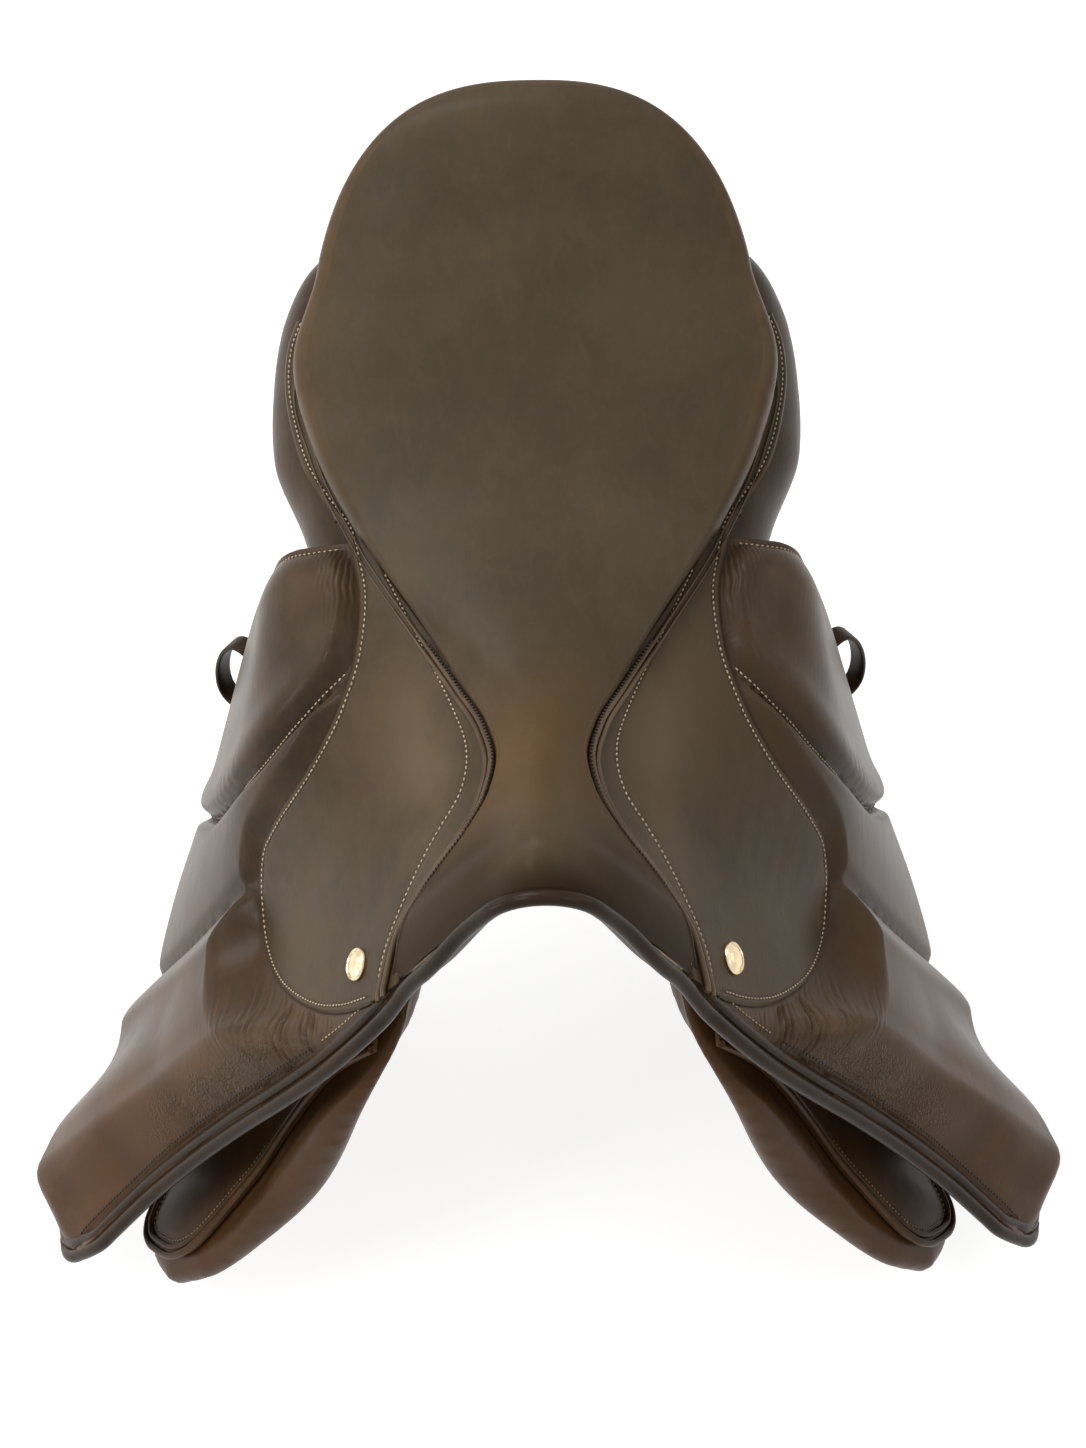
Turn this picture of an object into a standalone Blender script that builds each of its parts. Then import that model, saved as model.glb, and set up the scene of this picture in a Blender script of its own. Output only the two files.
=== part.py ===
"""A close-contact jumping saddle as separate pieces, in metres, +Z up.

The rider faces -Y, so +X is the rider's left. The origin lies on the horse's back line,
under the deepest place of the seat.
"""
import math

import bmesh
import bpy
import numpy as np
from mathutils import Matrix, Vector
from mathutils.geometry import delaunay_2d_cdt

SADDLE = "jumping_saddle"

# Seat: lengths along the back, half widths and heights over the horse's back line
POMMEL_FRONT = -0.2345
CANTLE_BACK = 0.222
WAIST_PLACE = -0.137
WAIST_HALF_WIDTH = 0.0225
POMMEL_HALF_WIDTH = 0.078
WIDEST_PLACE = 0.097
SEAT_HALF_WIDTH = 0.1275
POMMEL_HEIGHT = 0.155
SEAT_HEIGHT = 0.102
CANTLE_HEIGHT = 0.187
SEAT_TUCK = 0.011

# Leather, web, wood and steel thicknesses
SEAT_LEATHER = 0.0024
SKIRT_LEATHER = 0.0032
FLAP_LEATHER = 0.0035
SWEAT_LEATHER = 0.003
STRAP_LEATHER = 0.004
LINING_LEATHER = 0.0014
POCKET_LEATHER = 0.002
WEB_THICKNESS = 0.0022
TREE_BOARD = 0.008
SPRING_STEEL = 0.002

# Clearances: between curved layers, between fitted faces, and along a fold
LAYER_GAP = 0.001
FIT_GAP = 0.0003
SKIRT_FOLD_GAP = 0.002
FLAP_FOLD_GAP = 0.0007

# Padding
KNEE_PAD_CROWN = 0.026
MIDDLE_PAD_CROWN = 0.0085
REAR_PAD_CROWN = 0.0080
PAD_CHANNEL_WIDTH = 0.007
PAD_EDGE = 0.0022
PAD_SET_BACK = 0.0035

# Room under the flap for the girth straps, and more of it for the knee block
GIRTH_ROOM = 0.018
KNEE_BLOCK_ROOM = 0.022

# Girth straps
STRAP_WIDTH = 0.025
STRAP_PITCH = 0.034
STRAP_MIDDLE_PLACE = -0.071
STRAP_HOLES = 7
STRAP_HOLE_RADIUS = 0.0025
STRAP_HOLE_PITCH = 0.021
STRAP_TOP = 0.152
WEB_LAP = 0.008
STRAP_SEAM_GAP = 0.0019
STRAP_DROP = 0.0016
GUARD_PLACE = 0.262
GUARD_HEIGHT = 0.045
GUARD_TRAVEL = 0.02
GUARD_CLEAR = 0.0022
GUARD_WALL = 0.0018

# Stirrup bar and its catch
BAR_LENGTH = 0.088
BAR_HEIGHT = 0.010
BAR_THICKNESS = 0.0042
BAR_SLOT = 0.0058
BAR_PLATE_HEIGHT = 0.016
BAR_PLATE_THICKNESS = 0.0028
BAR_POST_LENGTH = 0.010
CATCH_LENGTH = 0.019
CATCH_HEIGHT = 0.0074
CATCH_THICKNESS = 0.002
CATCH_HEEL = 0.003
CATCH_TIP = 0.0045
CATCH_CLEAR = 0.0056
CATCH_PIN_RADIUS = 0.0012
CATCH_PIN_PLACE = -0.026

# Trim
WELT_RADIUS = 0.002
POMMEL_ROLL_RADIUS = 0.0048
BINDING_RADIUS = 0.003
KEEPER_REACH = 0.0135
KEEPER_LENGTH = 0.058
KEEPER_WIDTH = 0.010
KEEPER_LEATHER = 0.0034
NAIL_LENGTH = 0.0170
NAIL_WIDTH = 0.0135
NAIL_DOME = 0.0032
NAIL_SHANK_RADIUS = 0.0016

# The saddle's outer side, section by section from the head to the cantle: place along the back,
# half width and height where the crown ends, slope there and near the flap's edge in degrees,
# and how far down the side the bend between the two slopes starts and ends
SIDE_SECTIONS = (
    (-0.300, 0.024, 0.125, 56.0, 56.0, 0.100, 0.200),
    (-0.240, 0.024, 0.130, 57.5, 56.5, 0.100, 0.200),
    (-0.200, 0.023, 0.121, 53.0, 60.5, 0.050, 0.230),
    (WAIST_PLACE, 0.022, 0.100, 42.0, 70.0, 0.030, 0.260),
    (-0.060, 0.022, 0.093, 24.0, 75.0, 0.045, 0.200),
    (0.020, 0.022, 0.090, 12.0, 79.0, 0.080, 0.146),
    (0.120, 0.022, 0.092, 8.0, 80.0, 0.092, 0.145),
    (0.240, 0.022, 0.095, 5.0, 80.0, 0.090, 0.140),
)
SIDE_STEPS = 150
SIDE_STEP = 0.004

MATERIALS = {
    "seat_leather": ((0.078, 0.062, 0.043), 0.42, 0.0),
    "skirt_leather": ((0.062, 0.046, 0.033), 0.40, 0.0),
    "flap_leather": ((0.058, 0.040, 0.029), 0.42, 0.0),
    "panel_leather": ((0.075, 0.036, 0.020), 0.45, 0.0),
    "strap_leather": ((0.050, 0.030, 0.020), 0.50, 0.0),
    "foam": ((0.62, 0.55, 0.38), 0.90, 0.0),
    "linen_web": ((0.55, 0.50, 0.40), 0.85, 0.0),
    "beech_ply": ((0.36, 0.24, 0.14), 0.60, 0.0),
    "steel": ((0.50, 0.50, 0.50), 0.35, 1.0),
    "pale_gold": ((0.70, 0.62, 0.48), 0.28, 1.0),
}

# How deep each layer lies under the side's outer face
FLAP_DEPTH = SKIRT_LEATHER + LAYER_GAP
UNDER_FLAP = FLAP_DEPTH + FLAP_LEATHER
WEB_DEPTH = UNDER_FLAP + LAYER_GAP
TREE_DEPTH = WEB_DEPTH + WEB_THICKNESS + LAYER_GAP
UNDER_TREE = TREE_DEPTH + TREE_BOARD
SPRING_DEPTH = UNDER_TREE + LAYER_GAP
UNDER_SPRING = SPRING_DEPTH + SPRING_STEEL
LINING_DEPTH = UNDER_SPRING + 0.6 * LAYER_GAP
PANEL_DEPTH = LINING_DEPTH + LINING_LEATHER + FIT_GAP
SWEAT_DEPTH = UNDER_FLAP + GIRTH_ROOM

# The seat's outline and heights: place along the back, then half width or height
SEAT_EDGE = (
    (POMMEL_FRONT - 0.002, POMMEL_HALF_WIDTH),
    (-0.215, 0.072),
    (-0.196, 0.057),
    (-0.176, 0.037),
    (-0.158, 0.0265),
    (WAIST_PLACE, WAIST_HALF_WIDTH),
    (-0.116, 0.0270),
    (-0.088, 0.0405),
    (-0.050, 0.0620),
    (0.005, 0.0940),
    (0.055, 0.1175),
    (WIDEST_PLACE, SEAT_HALF_WIDTH),
    (0.139, 0.1150),
)
SEAT_MIDDLE_HEIGHTS = (
    (POMMEL_FRONT - 0.002, POMMEL_HEIGHT - 0.001),
    (-0.215, POMMEL_HEIGHT),
    (-0.180, POMMEL_HEIGHT - 0.012),
    (WAIST_PLACE, SEAT_HEIGHT + 0.020),
    (-0.080, SEAT_HEIGHT + 0.005),
    (0.000, SEAT_HEIGHT),
    (0.060, SEAT_HEIGHT + 0.010),
    (0.110, SEAT_HEIGHT + 0.031),
    (0.150, SEAT_HEIGHT + 0.052),
    (0.185, CANTLE_HEIGHT - 0.010),
    (0.207, CANTLE_HEIGHT),
    (CANTLE_BACK, CANTLE_HEIGHT - 0.001),
)
SEAT_EDGE_HEIGHTS = (
    (POMMEL_FRONT - 0.002, 0.050),
    (-0.196, 0.083),
    (WAIST_PLACE, 0.104),
    (-0.088, 0.093),
    (0.005, 0.093),
    (0.055, 0.101),
    (WIDEST_PLACE, 0.112),
    (0.150, 0.136),
    (0.190, 0.162),
    (CANTLE_BACK, CANTLE_HEIGHT - 0.007),
)

# Outlines and seams on the rider's left: places along the back with heights, or widths in FLAP_CUT
SKIRT_SEAM_GAP = 0.0012
SKIRT_BACK = 0.135
FLAP_FOLD_FRONT = (-0.270, -0.092)
FLAP_FOLD_REAR = (0.028, -0.034)
FLAP_HINGE_RISES = (0.028, 0.012)
SKIRT_EDGE_LOW = (
    (-0.0170, 0.0660), (-0.0400, 0.0640), (-0.0560, 0.0580), (-0.0720, 0.0490), (-0.0890, 0.0300),
    (-0.1030, 0.0050), (-0.1150, -0.0260), (-0.1290, -0.0490), (-0.1480, -0.0590), (-0.1720, -0.0580),
    (-0.2000, -0.0430), (-0.2190, -0.0220), (-0.2325, -0.0010),
)
SKIRT_STRIP_EDGE = (
    (-0.0160, 0.0690), (0.0120, 0.0715), (0.0500, 0.0700), (0.0880, 0.0700), (0.1200, 0.0720),
)
FLAP_REAR_TOP = (
    (0.0060, 0.0725), (0.0130, 0.0580), (0.0210, 0.0330), (0.0245, 0.0050), (0.0250, -0.0300),
)
FLAP_LOW_EDGE = (
    (0.0250, -0.0370), (0.0250, -0.1000), (0.0230, -0.1600), (0.0140, -0.2080), (-0.0150, -0.2340),
    (-0.0600, -0.2450), (-0.1100, -0.2550), (-0.1650, -0.2650), (-0.2150, -0.2690), (-0.2540, -0.2620),
    (-0.2750, -0.2400), (-0.2830, -0.2030), (-0.2830, -0.1520), (-0.2790, -0.1150), (-0.2765, -0.0990),
)
FLAP_FRONT_TOP = (
    (-0.2755, -0.0910), (-0.2700, -0.0420), (-0.2620, -0.0020), (-0.2510, 0.0250),
)
BAR_MIDDLE_PLACE = -0.157
BAR_MIDDLE_WIDTH = 0.101
BAR_TOP_DEPTH = SKIRT_LEATHER + LAYER_GAP
FLAP_CUT = ((-0.2090, 0.0940), (-0.2100, 0.1060), (-0.2020, 0.1200), (-0.1600, 0.1220), (-0.1150, 0.1140),
            (-0.0980, 0.1020), (-0.0820, 0.0680))
REAR_SEAM = ((-0.0670, 0.0500), (-0.0780, 0.0240), (-0.0850, -0.0200), (-0.0720, -0.0800),
             (-0.0450, -0.1400), (-0.0120, -0.2050), (0.0000, -0.2400))
KNEE_SEAM = (
    (-0.1280, -0.0430), (-0.1240, -0.0900), (-0.1150, -0.1640), (-0.1020, -0.2350), (-0.0960, -0.2700))

# Where the pieces' grids have their rows, and the panel's section at each place along the back
SEAT_SHARES = (0.0, 0.28, 0.54, 0.76, 0.91)
SEAT_STATIONS = (
    POMMEL_FRONT, -0.222, -0.205, -0.186, -0.166, -0.148, -0.130, -0.110, -0.088, -0.062, -0.034, -0.004,
    0.028, 0.060, 0.092, 0.122, 0.148, 0.170, 0.188, 0.203, 0.2135, 0.2200,
)
FACING_FRONT = 0.062
FACING_BACK = CANTLE_BACK - 0.0036
PANEL_STATIONS = (
    (-0.190, 0.050, 0.046, 0.092, 0.034, 0.078, 0.000),
    (-0.160, 0.040, 0.054, 0.096, 0.030, 0.088, -0.012),
    (-0.120, 0.034, 0.062, 0.104, 0.024, 0.102, -0.026),
    (-0.060, 0.033, 0.066, 0.118, 0.015, 0.118, -0.030),
    (0.010, 0.033, 0.067, 0.128, 0.010, 0.130, -0.028),
    (0.080, 0.033, 0.067, 0.140, 0.013, 0.142, -0.020),
    (0.140, 0.034, 0.066, 0.144, 0.024, 0.146, -0.004),
    (0.190, 0.038, 0.064, 0.128, 0.036, 0.132, 0.018),
    (0.216, 0.050, 0.060, 0.096, 0.046, 0.100, 0.036),
)
REST_PLACE = (0.078, 0.040, 0.004)
REST_SLOPE = 24.0
REST_CUT_SIZE = 0.30
REST_CUT_DEPTH = 0.05


def ease(t):
    t = min(max(t, 0.0), 1.0)
    return t * t * (3.0 - 2.0 * t)


def through(places, values, at):
    """A smooth curve through the values that never overshoots them."""
    steps = np.diff(places)
    slopes = np.diff(values) / steps
    turns = [slopes[0]]
    for before, after in zip(slopes[:-1], slopes[1:]):
        turns.append(0.0 if before * after <= 0 else 2.0 * before * after / (before + after))
    turns.append(slopes[-1])
    at = min(max(at, places[0]), places[-1])
    k = int(min(max(np.searchsorted(places, at) - 1, 0), len(steps) - 1))
    t = (at - places[k]) / steps[k]
    low = (2 * t**3 - 3 * t * t + 1) * values[k] + (t**3 - 2 * t * t + t) * steps[k] * turns[k]
    high = (3 * t * t - 2 * t**3) * values[k + 1] + (t**3 - t * t) * steps[k] * turns[k + 1]
    return float(low + high)


class Side:
    """The outer side of the saddle: a place along the back and a length down from the middle."""

    def __init__(self):
        self.columns = np.array(SIDE_SECTIONS)
        self.lengths = np.arange(SIDE_STEPS) * SIDE_STEP
        self.sections = {}

    def section(self, y):
        key = round(y, 4)
        if key not in self.sections:
            half, height, steep, low, start, end = (
                through(self.columns[:, 0], self.columns[:, k], key) for k in range(1, 7)
            )
            radius = half / math.sin(math.radians(steep))
            crown = radius * math.radians(steep)
            turn = np.clip((self.lengths - crown - start) / (end - start), 0.0, 1.0)
            turn = turn * turn * (3.0 - 2.0 * turn)
            angle = steep + (low - steep) * turn
            angle = np.radians(np.where(self.lengths < crown, steep * self.lengths / crown, angle))
            top = height + radius * (1.0 - math.cos(math.radians(steep)))
            across = np.cos(angle)
            down = np.sin(angle)
            x = np.concatenate([[0.0], np.cumsum((across[1:] + across[:-1]) * SIDE_STEP / 2)])
            z = top - np.concatenate([[0.0], np.cumsum((down[1:] + down[:-1]) * SIDE_STEP / 2)])
            self.sections[key] = (x, z, angle)
        return self.sections[key]

    def point(self, y, s, out=0.0):
        """The place at s down the side; a negative s lies on the rider's right."""
        x, z, angle = self.section(y)
        a = float(np.interp(abs(s), self.lengths, angle))
        across = float(np.interp(abs(s), self.lengths, x)) + out * math.sin(a)
        level = float(np.interp(abs(s), self.lengths, z)) + out * math.cos(a)
        return Vector((math.copysign(across, s), y, level))

    def normal(self, y, s):
        here = self.point(y, s)
        along = self.point(y + 0.002, s) - self.point(y - 0.002, s)
        down = self.point(y, s + 0.002) - self.point(y, s - 0.002)
        out = down.cross(along).normalized()
        return out if out.dot(self.point(y, s, 0.01) - here) > 0 else -out

    def under(self, y, width, depth):
        """Height at a width of the face that lies at a depth under the side."""
        x, z, angle = self.section(y)
        return float(np.interp(width, x - depth * np.sin(angle), z - depth * np.cos(angle)))

    def at_height(self, y, height):
        x, z, angle = self.section(y)
        return (y, float(np.interp(-height, -z, self.lengths)))

    def at_width(self, y, width):
        x, z, angle = self.section(y)
        return (y, float(np.interp(width, x, self.lengths)))


SIDE = Side()


def table(pairs):
    columns = np.array(pairs)
    return lambda at: through(columns[:, 0], columns[:, 1], at)


seat_edge_smooth = table(SEAT_EDGE)
seat_middle_height = table(SEAT_MIDDLE_HEIGHTS)
seat_edge_height = table(SEAT_EDGE_HEIGHTS)


def seat_half_width(y):
    """The seat's half width, rounded off like an ellipse at the cantle."""
    last_place, last_half = SEAT_EDGE[-1]
    if y <= last_place:
        return seat_edge_smooth(y)
    t = min((y - last_place) / (CANTLE_BACK - last_place), 1.0)
    return last_half * (0.12 * (1.0 - t) + 0.88 * (1.0 - t**2.0) ** 0.40)


def edge_roll(y):
    """Depth of the seat's rolled edge: slim at the pommel and waist, full at the cantle."""
    return 0.005 + 0.019 * ease((y + 0.06) / 0.14)


def inner_half_width(y, inset):
    """The seat's half width drawn in square to its outline."""
    turns = (0.0, 0.4, 0.8, 1.2, math.pi / 2)
    return min(
        seat_half_width(min(y + inset * math.sin(turn), CANTLE_BACK)) - inset * math.cos(turn)
        for turn in turns
    )


def seam_half_width(y, inset=0.0):
    """Where the seat's leather is sewn down, tucked under the roll towards the cantle."""
    tuck = SEAT_TUCK * ease((y + 0.02) / 0.10)
    return max(inner_half_width(y, inset) - tuck, 0.004)


def seat_edge_level(y):
    """Height of the seat's edge, which never sinks into the side under it."""
    under = SIDE.point(*SIDE.at_width(y, seat_half_width(y))).z
    return max(seat_edge_height(y), under + edge_roll(y) + 0.001)


def cantle_lift(y):
    """How far the tree and what it carries climb to the cantle."""
    return 0.060 * ease((y - 0.095) / 0.105)


def front_depth(y, s):
    """The sweat flap's depth: it leaves more room for the knee block low at the front."""
    return SWEAT_DEPTH + KNEE_BLOCK_ROOM * ease((-0.150 - y) / 0.08) * ease((s - 0.20) / 0.15)


# Objects and operations

def clear_scene():
    for old in list(bpy.data.objects):
        bpy.data.objects.remove(old, do_unlink=True)


def collection(name):
    made = bpy.data.collections.new(name)
    bpy.context.scene.collection.children.link(made)
    return made


def material(name):
    if name in bpy.data.materials:
        return bpy.data.materials[name]
    colour, roughness, metallic = MATERIALS[name]
    made = bpy.data.materials.new(name)
    made.use_nodes = True
    shader = made.node_tree.nodes["Principled BSDF"]
    shader.inputs["Base Color"].default_value = (*colour, 1.0)
    shader.inputs["Roughness"].default_value = roughness
    shader.inputs["Metallic"].default_value = metallic
    return made


def part_from(name, mesh, finish, smooth=True):
    part = bpy.data.objects.new(name, mesh)
    PARTS.objects.link(part)
    mesh.materials.clear()
    mesh.materials.append(material(finish))
    if smooth:
        mesh.shade_smooth()
        mesh.set_sharp_from_angle(angle=math.radians(40))
    return part


def mesh_of(points, faces):
    mesh = bpy.data.meshes.new("shape")
    mesh.from_pydata([tuple(p) for p in points], [], faces)
    mesh.update()
    return mesh


def face_outwards(mesh):
    work = bmesh.new()
    work.from_mesh(mesh)
    bmesh.ops.recalc_face_normals(work, faces=work.faces)
    work.to_mesh(mesh)
    work.free()
    return mesh


def solidify(part, thickness, offset=-1.0):
    wall = part.modifiers.new("leather", "SOLIDIFY")
    wall.thickness = thickness
    wall.offset = offset
    wall.use_even_offset = True
    return part


def subdivide(part, levels=1):
    smooth = part.modifiers.new("round", "SUBSURF")
    smooth.levels = levels
    smooth.render_levels = levels
    return part


def applied(part):
    """The part with its modifiers made real."""
    graph = bpy.context.evaluated_depsgraph_get()
    mesh = bpy.data.meshes.new_from_object(part.evaluated_get(graph))
    part.modifiers.clear()
    part.data = mesh
    return part


def boolean(part, other, operation="DIFFERENCE"):
    step = part.modifiers.new(operation.lower(), "BOOLEAN")
    step.object = other
    step.operation = operation
    applied(part)
    if operation == "UNION":
        bpy.data.objects.remove(other, do_unlink=True)
    return part


def cutter_from(name, mesh):
    cutter = bpy.data.objects.new(name, mesh)
    CUTTERS.objects.link(cutter)
    cutter.hide_render = True
    cutter.display_type = "WIRE"
    return cutter


def flipped(mesh):
    mesh.transform(Matrix.Scale(-1.0, 4, Vector((1.0, 0.0, 0.0))))
    mesh.flip_normals()
    return mesh


def other_side(part, name):
    """The same piece for the rider's right."""
    twin = part.copy()
    twin.name = name
    twin.data = flipped(part.data.copy())
    twin.location.x = -part.location.x
    PARTS.objects.link(twin)
    return twin


def hang(part, place):
    """Moves the part's origin to a place on its joint's axis."""
    part.data.transform(Matrix.Translation(-place))
    part.location = place
    return part


# Outlines on the side

def rounded(points, steps=4, closed=True):
    """A smooth line through the points."""
    count = len(points)
    spans = count if closed else count - 1
    line = []
    for k in range(spans):
        if closed:
            a, b, c, d = (np.array(points[(k + j - 1) % count]) for j in range(4))
        else:
            a, b, c, d = (np.array(points[min(max(k + j - 1, 0), count - 1)]) for j in range(4))
        for j in range(steps):
            t = j / steps
            line.append(tuple(0.5 * (
                2 * b + (c - a) * t + (2 * a - 5 * b + 4 * c - d) * t * t + (3 * b - a - 3 * c + d) * t**3
            )))
    if not closed:
        line.append(tuple(points[-1]))
    return line


def spaced(points, step, closed=True):
    """The same straight-sided line with points no further apart than the step."""
    line = []
    ends = points[1:] + points[:1] if closed else points[1:]
    for start, end in zip(points, ends):
        pieces = max(1, math.ceil(math.dist(start, end) / step))
        for k in range(pieces):
            t = k / pieces
            line.append((start[0] + (end[0] - start[0]) * t, start[1] + (end[1] - start[1]) * t))
    if not closed:
        line.append(points[-1])
    return line


def apart(points, least):
    """The closed line without points that stand closer together than the least distance."""
    line = []
    for point in points:
        if all(math.dist(point, other) >= least for other in line):
            line.append(point)
    return line


def inside(point, outline):
    y, s = point
    hit = False
    for (ya, sa), (yb, sb) in zip(outline, outline[1:] + outline[:1]):
        if (sa > s) != (sb > s) and y < (yb - ya) * (s - sa) / (sb - sa) + ya:
            hit = not hit
    return hit


def distance_to(point, line, closed=False):
    ends = line[1:] + line[:1] if closed else line[1:]
    best = 1.0
    for start, end in zip(line, ends):
        along = (end[0] - start[0], end[1] - start[1])
        size = along[0] ** 2 + along[1] ** 2
        t = ((point[0] - start[0]) * along[0] + (point[1] - start[1]) * along[1]) / size if size else 0.0
        t = min(max(t, 0.0), 1.0)
        best = min(best, math.dist(point, (start[0] + along[0] * t, start[1] + along[1] * t)))
    return best


def fill(outline, step, holes=(), lines=()):
    """Triangles that fill an outline and follow the lines, with an even spread of points inside it."""
    points = [Vector(p) for p in outline]
    count = len(outline)
    edges = [(k, (k + 1) % count) for k in range(count)]
    for hole in holes:
        first = len(points)
        points += [Vector(p) for p in hole]
        edges += [(first + k, first + (k + 1) % len(hole)) for k in range(len(hole))]
    for line in lines:
        first = len(points)
        points += [Vector(p) for p in line]
        edges += [(first + k, first + k + 1) for k in range(len(line) - 1)]
    low = [min(p[k] for p in outline) for k in (0, 1)]
    high = [max(p[k] for p in outline) for k in (0, 1)]
    rows = int((high[1] - low[1]) / (step * 0.87)) + 1
    columns = int((high[0] - low[0]) / step) + 2
    for row in range(rows):
        for column in range(columns):
            place = (low[0] + (column - 0.5 * (row % 2)) * step, low[1] + (row + 0.5) * step * 0.87)
            if not inside(place, outline) or distance_to(place, outline, True) < 0.55 * step:
                continue
            if any(inside(place, hole) or distance_to(place, hole, True) < 0.4 * step for hole in holes):
                continue
            if any(distance_to(place, line) < 0.5 * step for line in lines):
                continue
            points.append(Vector(place))
    verts, _, faces, *_ = delaunay_2d_cdt(points, edges, [], 0, 1e-6)
    kept = []
    for face in faces:
        middle = tuple(sum(verts[k][axis] for k in face) / 3.0 for axis in (0, 1))
        if inside(middle, outline) and not any(inside(middle, hole) for hole in holes):
            kept.append(list(face))
    used = sorted({k for face in kept for k in face})
    places = {k: n for n, k in enumerate(used)}
    return [tuple(verts[k]) for k in used], [[places[k] for k in face] for face in kept]


def sheet(name, outline, depth, thickness, finish, step=0.016, holes=()):
    """A leather, web or board sheet that lies on the side at a depth."""
    flat, faces = fill(outline, step, holes)
    level = depth if callable(depth) else lambda y, s: depth
    points = [SIDE.point(y, s, -level(y, s)) for y, s in flat]
    part = part_from(name, mesh_of(points, [face[::-1] for face in faces]), finish, smooth=False)
    normal = part.data.polygons[0].normal
    first = flat[faces[0][0]]
    if normal.dot(SIDE.normal(*first)) < 0:
        part.data.flip_normals()
    solidify(part, thickness)
    return applied(part)


def slab(name, outline, top, under, finish, step=0.016, lines=()):
    """A padded piece on the side whose upper and lower depths vary over its outline."""
    flat, faces = fill(outline, step, (), lines)
    count = len(flat)
    points = [SIDE.point(y, s, -top(y, s)) for y, s in flat]
    points += [SIDE.point(y, s, -under(y, s)) for y, s in flat]
    rims = {}
    for face in faces:
        for a, b in zip(face, face[1:] + face[:1]):
            rims[(a, b)] = True
    walls = [[b, a, a + count, b + count] for a, b in rims if (b, a) not in rims]
    below = [[k + count for k in face[::-1]] for face in faces]
    return part_from(name, face_outwards(mesh_of(points, faces + below + walls)), finish, smooth=False)


def loft(name, rings, finish, capped=True):
    """Rings of equal count joined into a skin, with flat ends where capped."""
    size = len(rings[0])
    points = [p for ring in rings for p in ring]
    faces = []
    for k in range(len(rings) - 1):
        for j in range(size):
            a, b = k * size + j, k * size + (j + 1) % size
            faces.append([a, b, b + size, a + size])
    if capped:
        faces.append(list(range(size)))
        faces.append([(len(rings) - 1) * size + j for j in reversed(range(size))])
    return part_from(name, face_outwards(mesh_of(points, faces)), finish, smooth=False)


def tube(name, path, radius, finish, resolution=2):
    """A round cord or roll along the points."""
    curve = bpy.data.curves.new(name, "CURVE")
    curve.dimensions = "3D"
    line = curve.splines.new("POLY")
    line.points.add(len(path) - 1)
    for point, place in zip(line.points, path):
        point.co = (*place, 1.0)
    curve.bevel_depth = radius
    curve.bevel_resolution = resolution
    curve.use_fill_caps = True
    guide = bpy.data.objects.new(name + "_line", curve)
    bpy.context.scene.collection.objects.link(guide)
    graph = bpy.context.evaluated_depsgraph_get()
    mesh = bpy.data.meshes.new_from_object(guide.evaluated_get(graph))
    bpy.data.objects.remove(guide, do_unlink=True)
    work = bmesh.new()
    work.from_mesh(mesh)
    bmesh.ops.remove_doubles(work, verts=work.verts, dist=1e-5)
    bmesh.ops.recalc_face_normals(work, faces=work.faces)
    work.to_mesh(mesh)
    work.free()
    return part_from(name, mesh, finish)


def block_mesh(size, frame, rounding=0.0, bevels=1):
    """A box of the size, centred on a frame."""
    work = bmesh.new()
    bmesh.ops.create_cube(work, size=1.0)
    bmesh.ops.scale(work, vec=Vector(size), verts=work.verts)
    if rounding:
        bmesh.ops.bevel(
            work, geom=work.edges[:], offset=rounding, segments=bevels, profile=0.5, affect="EDGES")
    bmesh.ops.transform(work, matrix=frame, verts=work.verts)
    mesh = bpy.data.meshes.new("block")
    work.to_mesh(mesh)
    work.free()
    return mesh


def pin_mesh(radius, length, frame, sides=16):
    """A round pin along the frame's Z, centred on it."""
    work = bmesh.new()
    bmesh.ops.create_cone(
        work, cap_ends=True, segments=sides, radius1=radius, radius2=radius, depth=length, matrix=frame
    )
    mesh = bpy.data.meshes.new("pin")
    work.to_mesh(mesh)
    work.free()
    return mesh


def frame_at(place, x_axis, z_axis):
    """A frame at the place whose Z is z_axis and whose X is the nearest to x_axis."""
    z = z_axis.normalized()
    x = (x_axis - z * x_axis.dot(z)).normalized()
    y = z.cross(x)
    turn = Matrix((x, y, z)).transposed().to_4x4()
    return Matrix.Translation(place) @ turn


# Outlines and lines on the left side

def seam_line(start, end, steps, out=0.0):
    """Places down the seam between the seat and the skirt."""
    line = []
    for k in range(steps + 1):
        y = start + (end - start) * k / steps
        line.append(SIDE.at_width(y, seam_half_width(y) + out))
    return line


SKIRT_HINGE_FRONT = SIDE.at_height(-0.236, 0.004)
SKIRT_HINGE_REAR = SIDE.at_height(-0.016, 0.0705)


def skirt_base_outline():
    """The sewn-down part of the skirt, from the nail back along the seat."""
    seam = seam_line(POMMEL_FRONT - 0.003, SKIRT_BACK, 20, SKIRT_SEAM_GAP)
    strip = [SIDE.at_height(y, z) for y, z in reversed(SKIRT_STRIP_EDGE[1:])]
    hinge = hinge_line(SKIRT_HINGE_REAR, SKIRT_HINGE_FRONT, -SKIRT_FOLD_GAP / 2, 10)
    return seam + rounded(strip, 2, closed=False) + hinge


def hinge_line(start, end, shift, steps):
    """Places on the side under the straight line between two places on it."""
    a = SIDE.point(*start)
    b = SIDE.point(*end)
    line = []
    for k in range(steps + 1):
        place = a.lerp(b, k / steps)
        y, s = nearest(place)
        line.append((y, s + shift))
    return line


def nearest(place):
    """The (y, s) on the side whose face lies straight under a place."""
    x, z, angle = SIDE.section(place.y)
    gap = (place.x - x) ** 2 + (place.z - z) ** 2
    k = int(np.argmin(gap))
    along = (place.x - x[k]) * math.cos(angle[k]) - (place.z - z[k]) * math.sin(angle[k])
    return (place.y, float(SIDE.lengths[k]) + along)


def skirt_axis():
    """The middle and the direction of the line the skirt lifts about."""
    front, rear = SIDE.point(*SKIRT_HINGE_FRONT), SIDE.point(*SKIRT_HINGE_REAR)
    return (front + rear) / 2, (front - rear).normalized()


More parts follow.
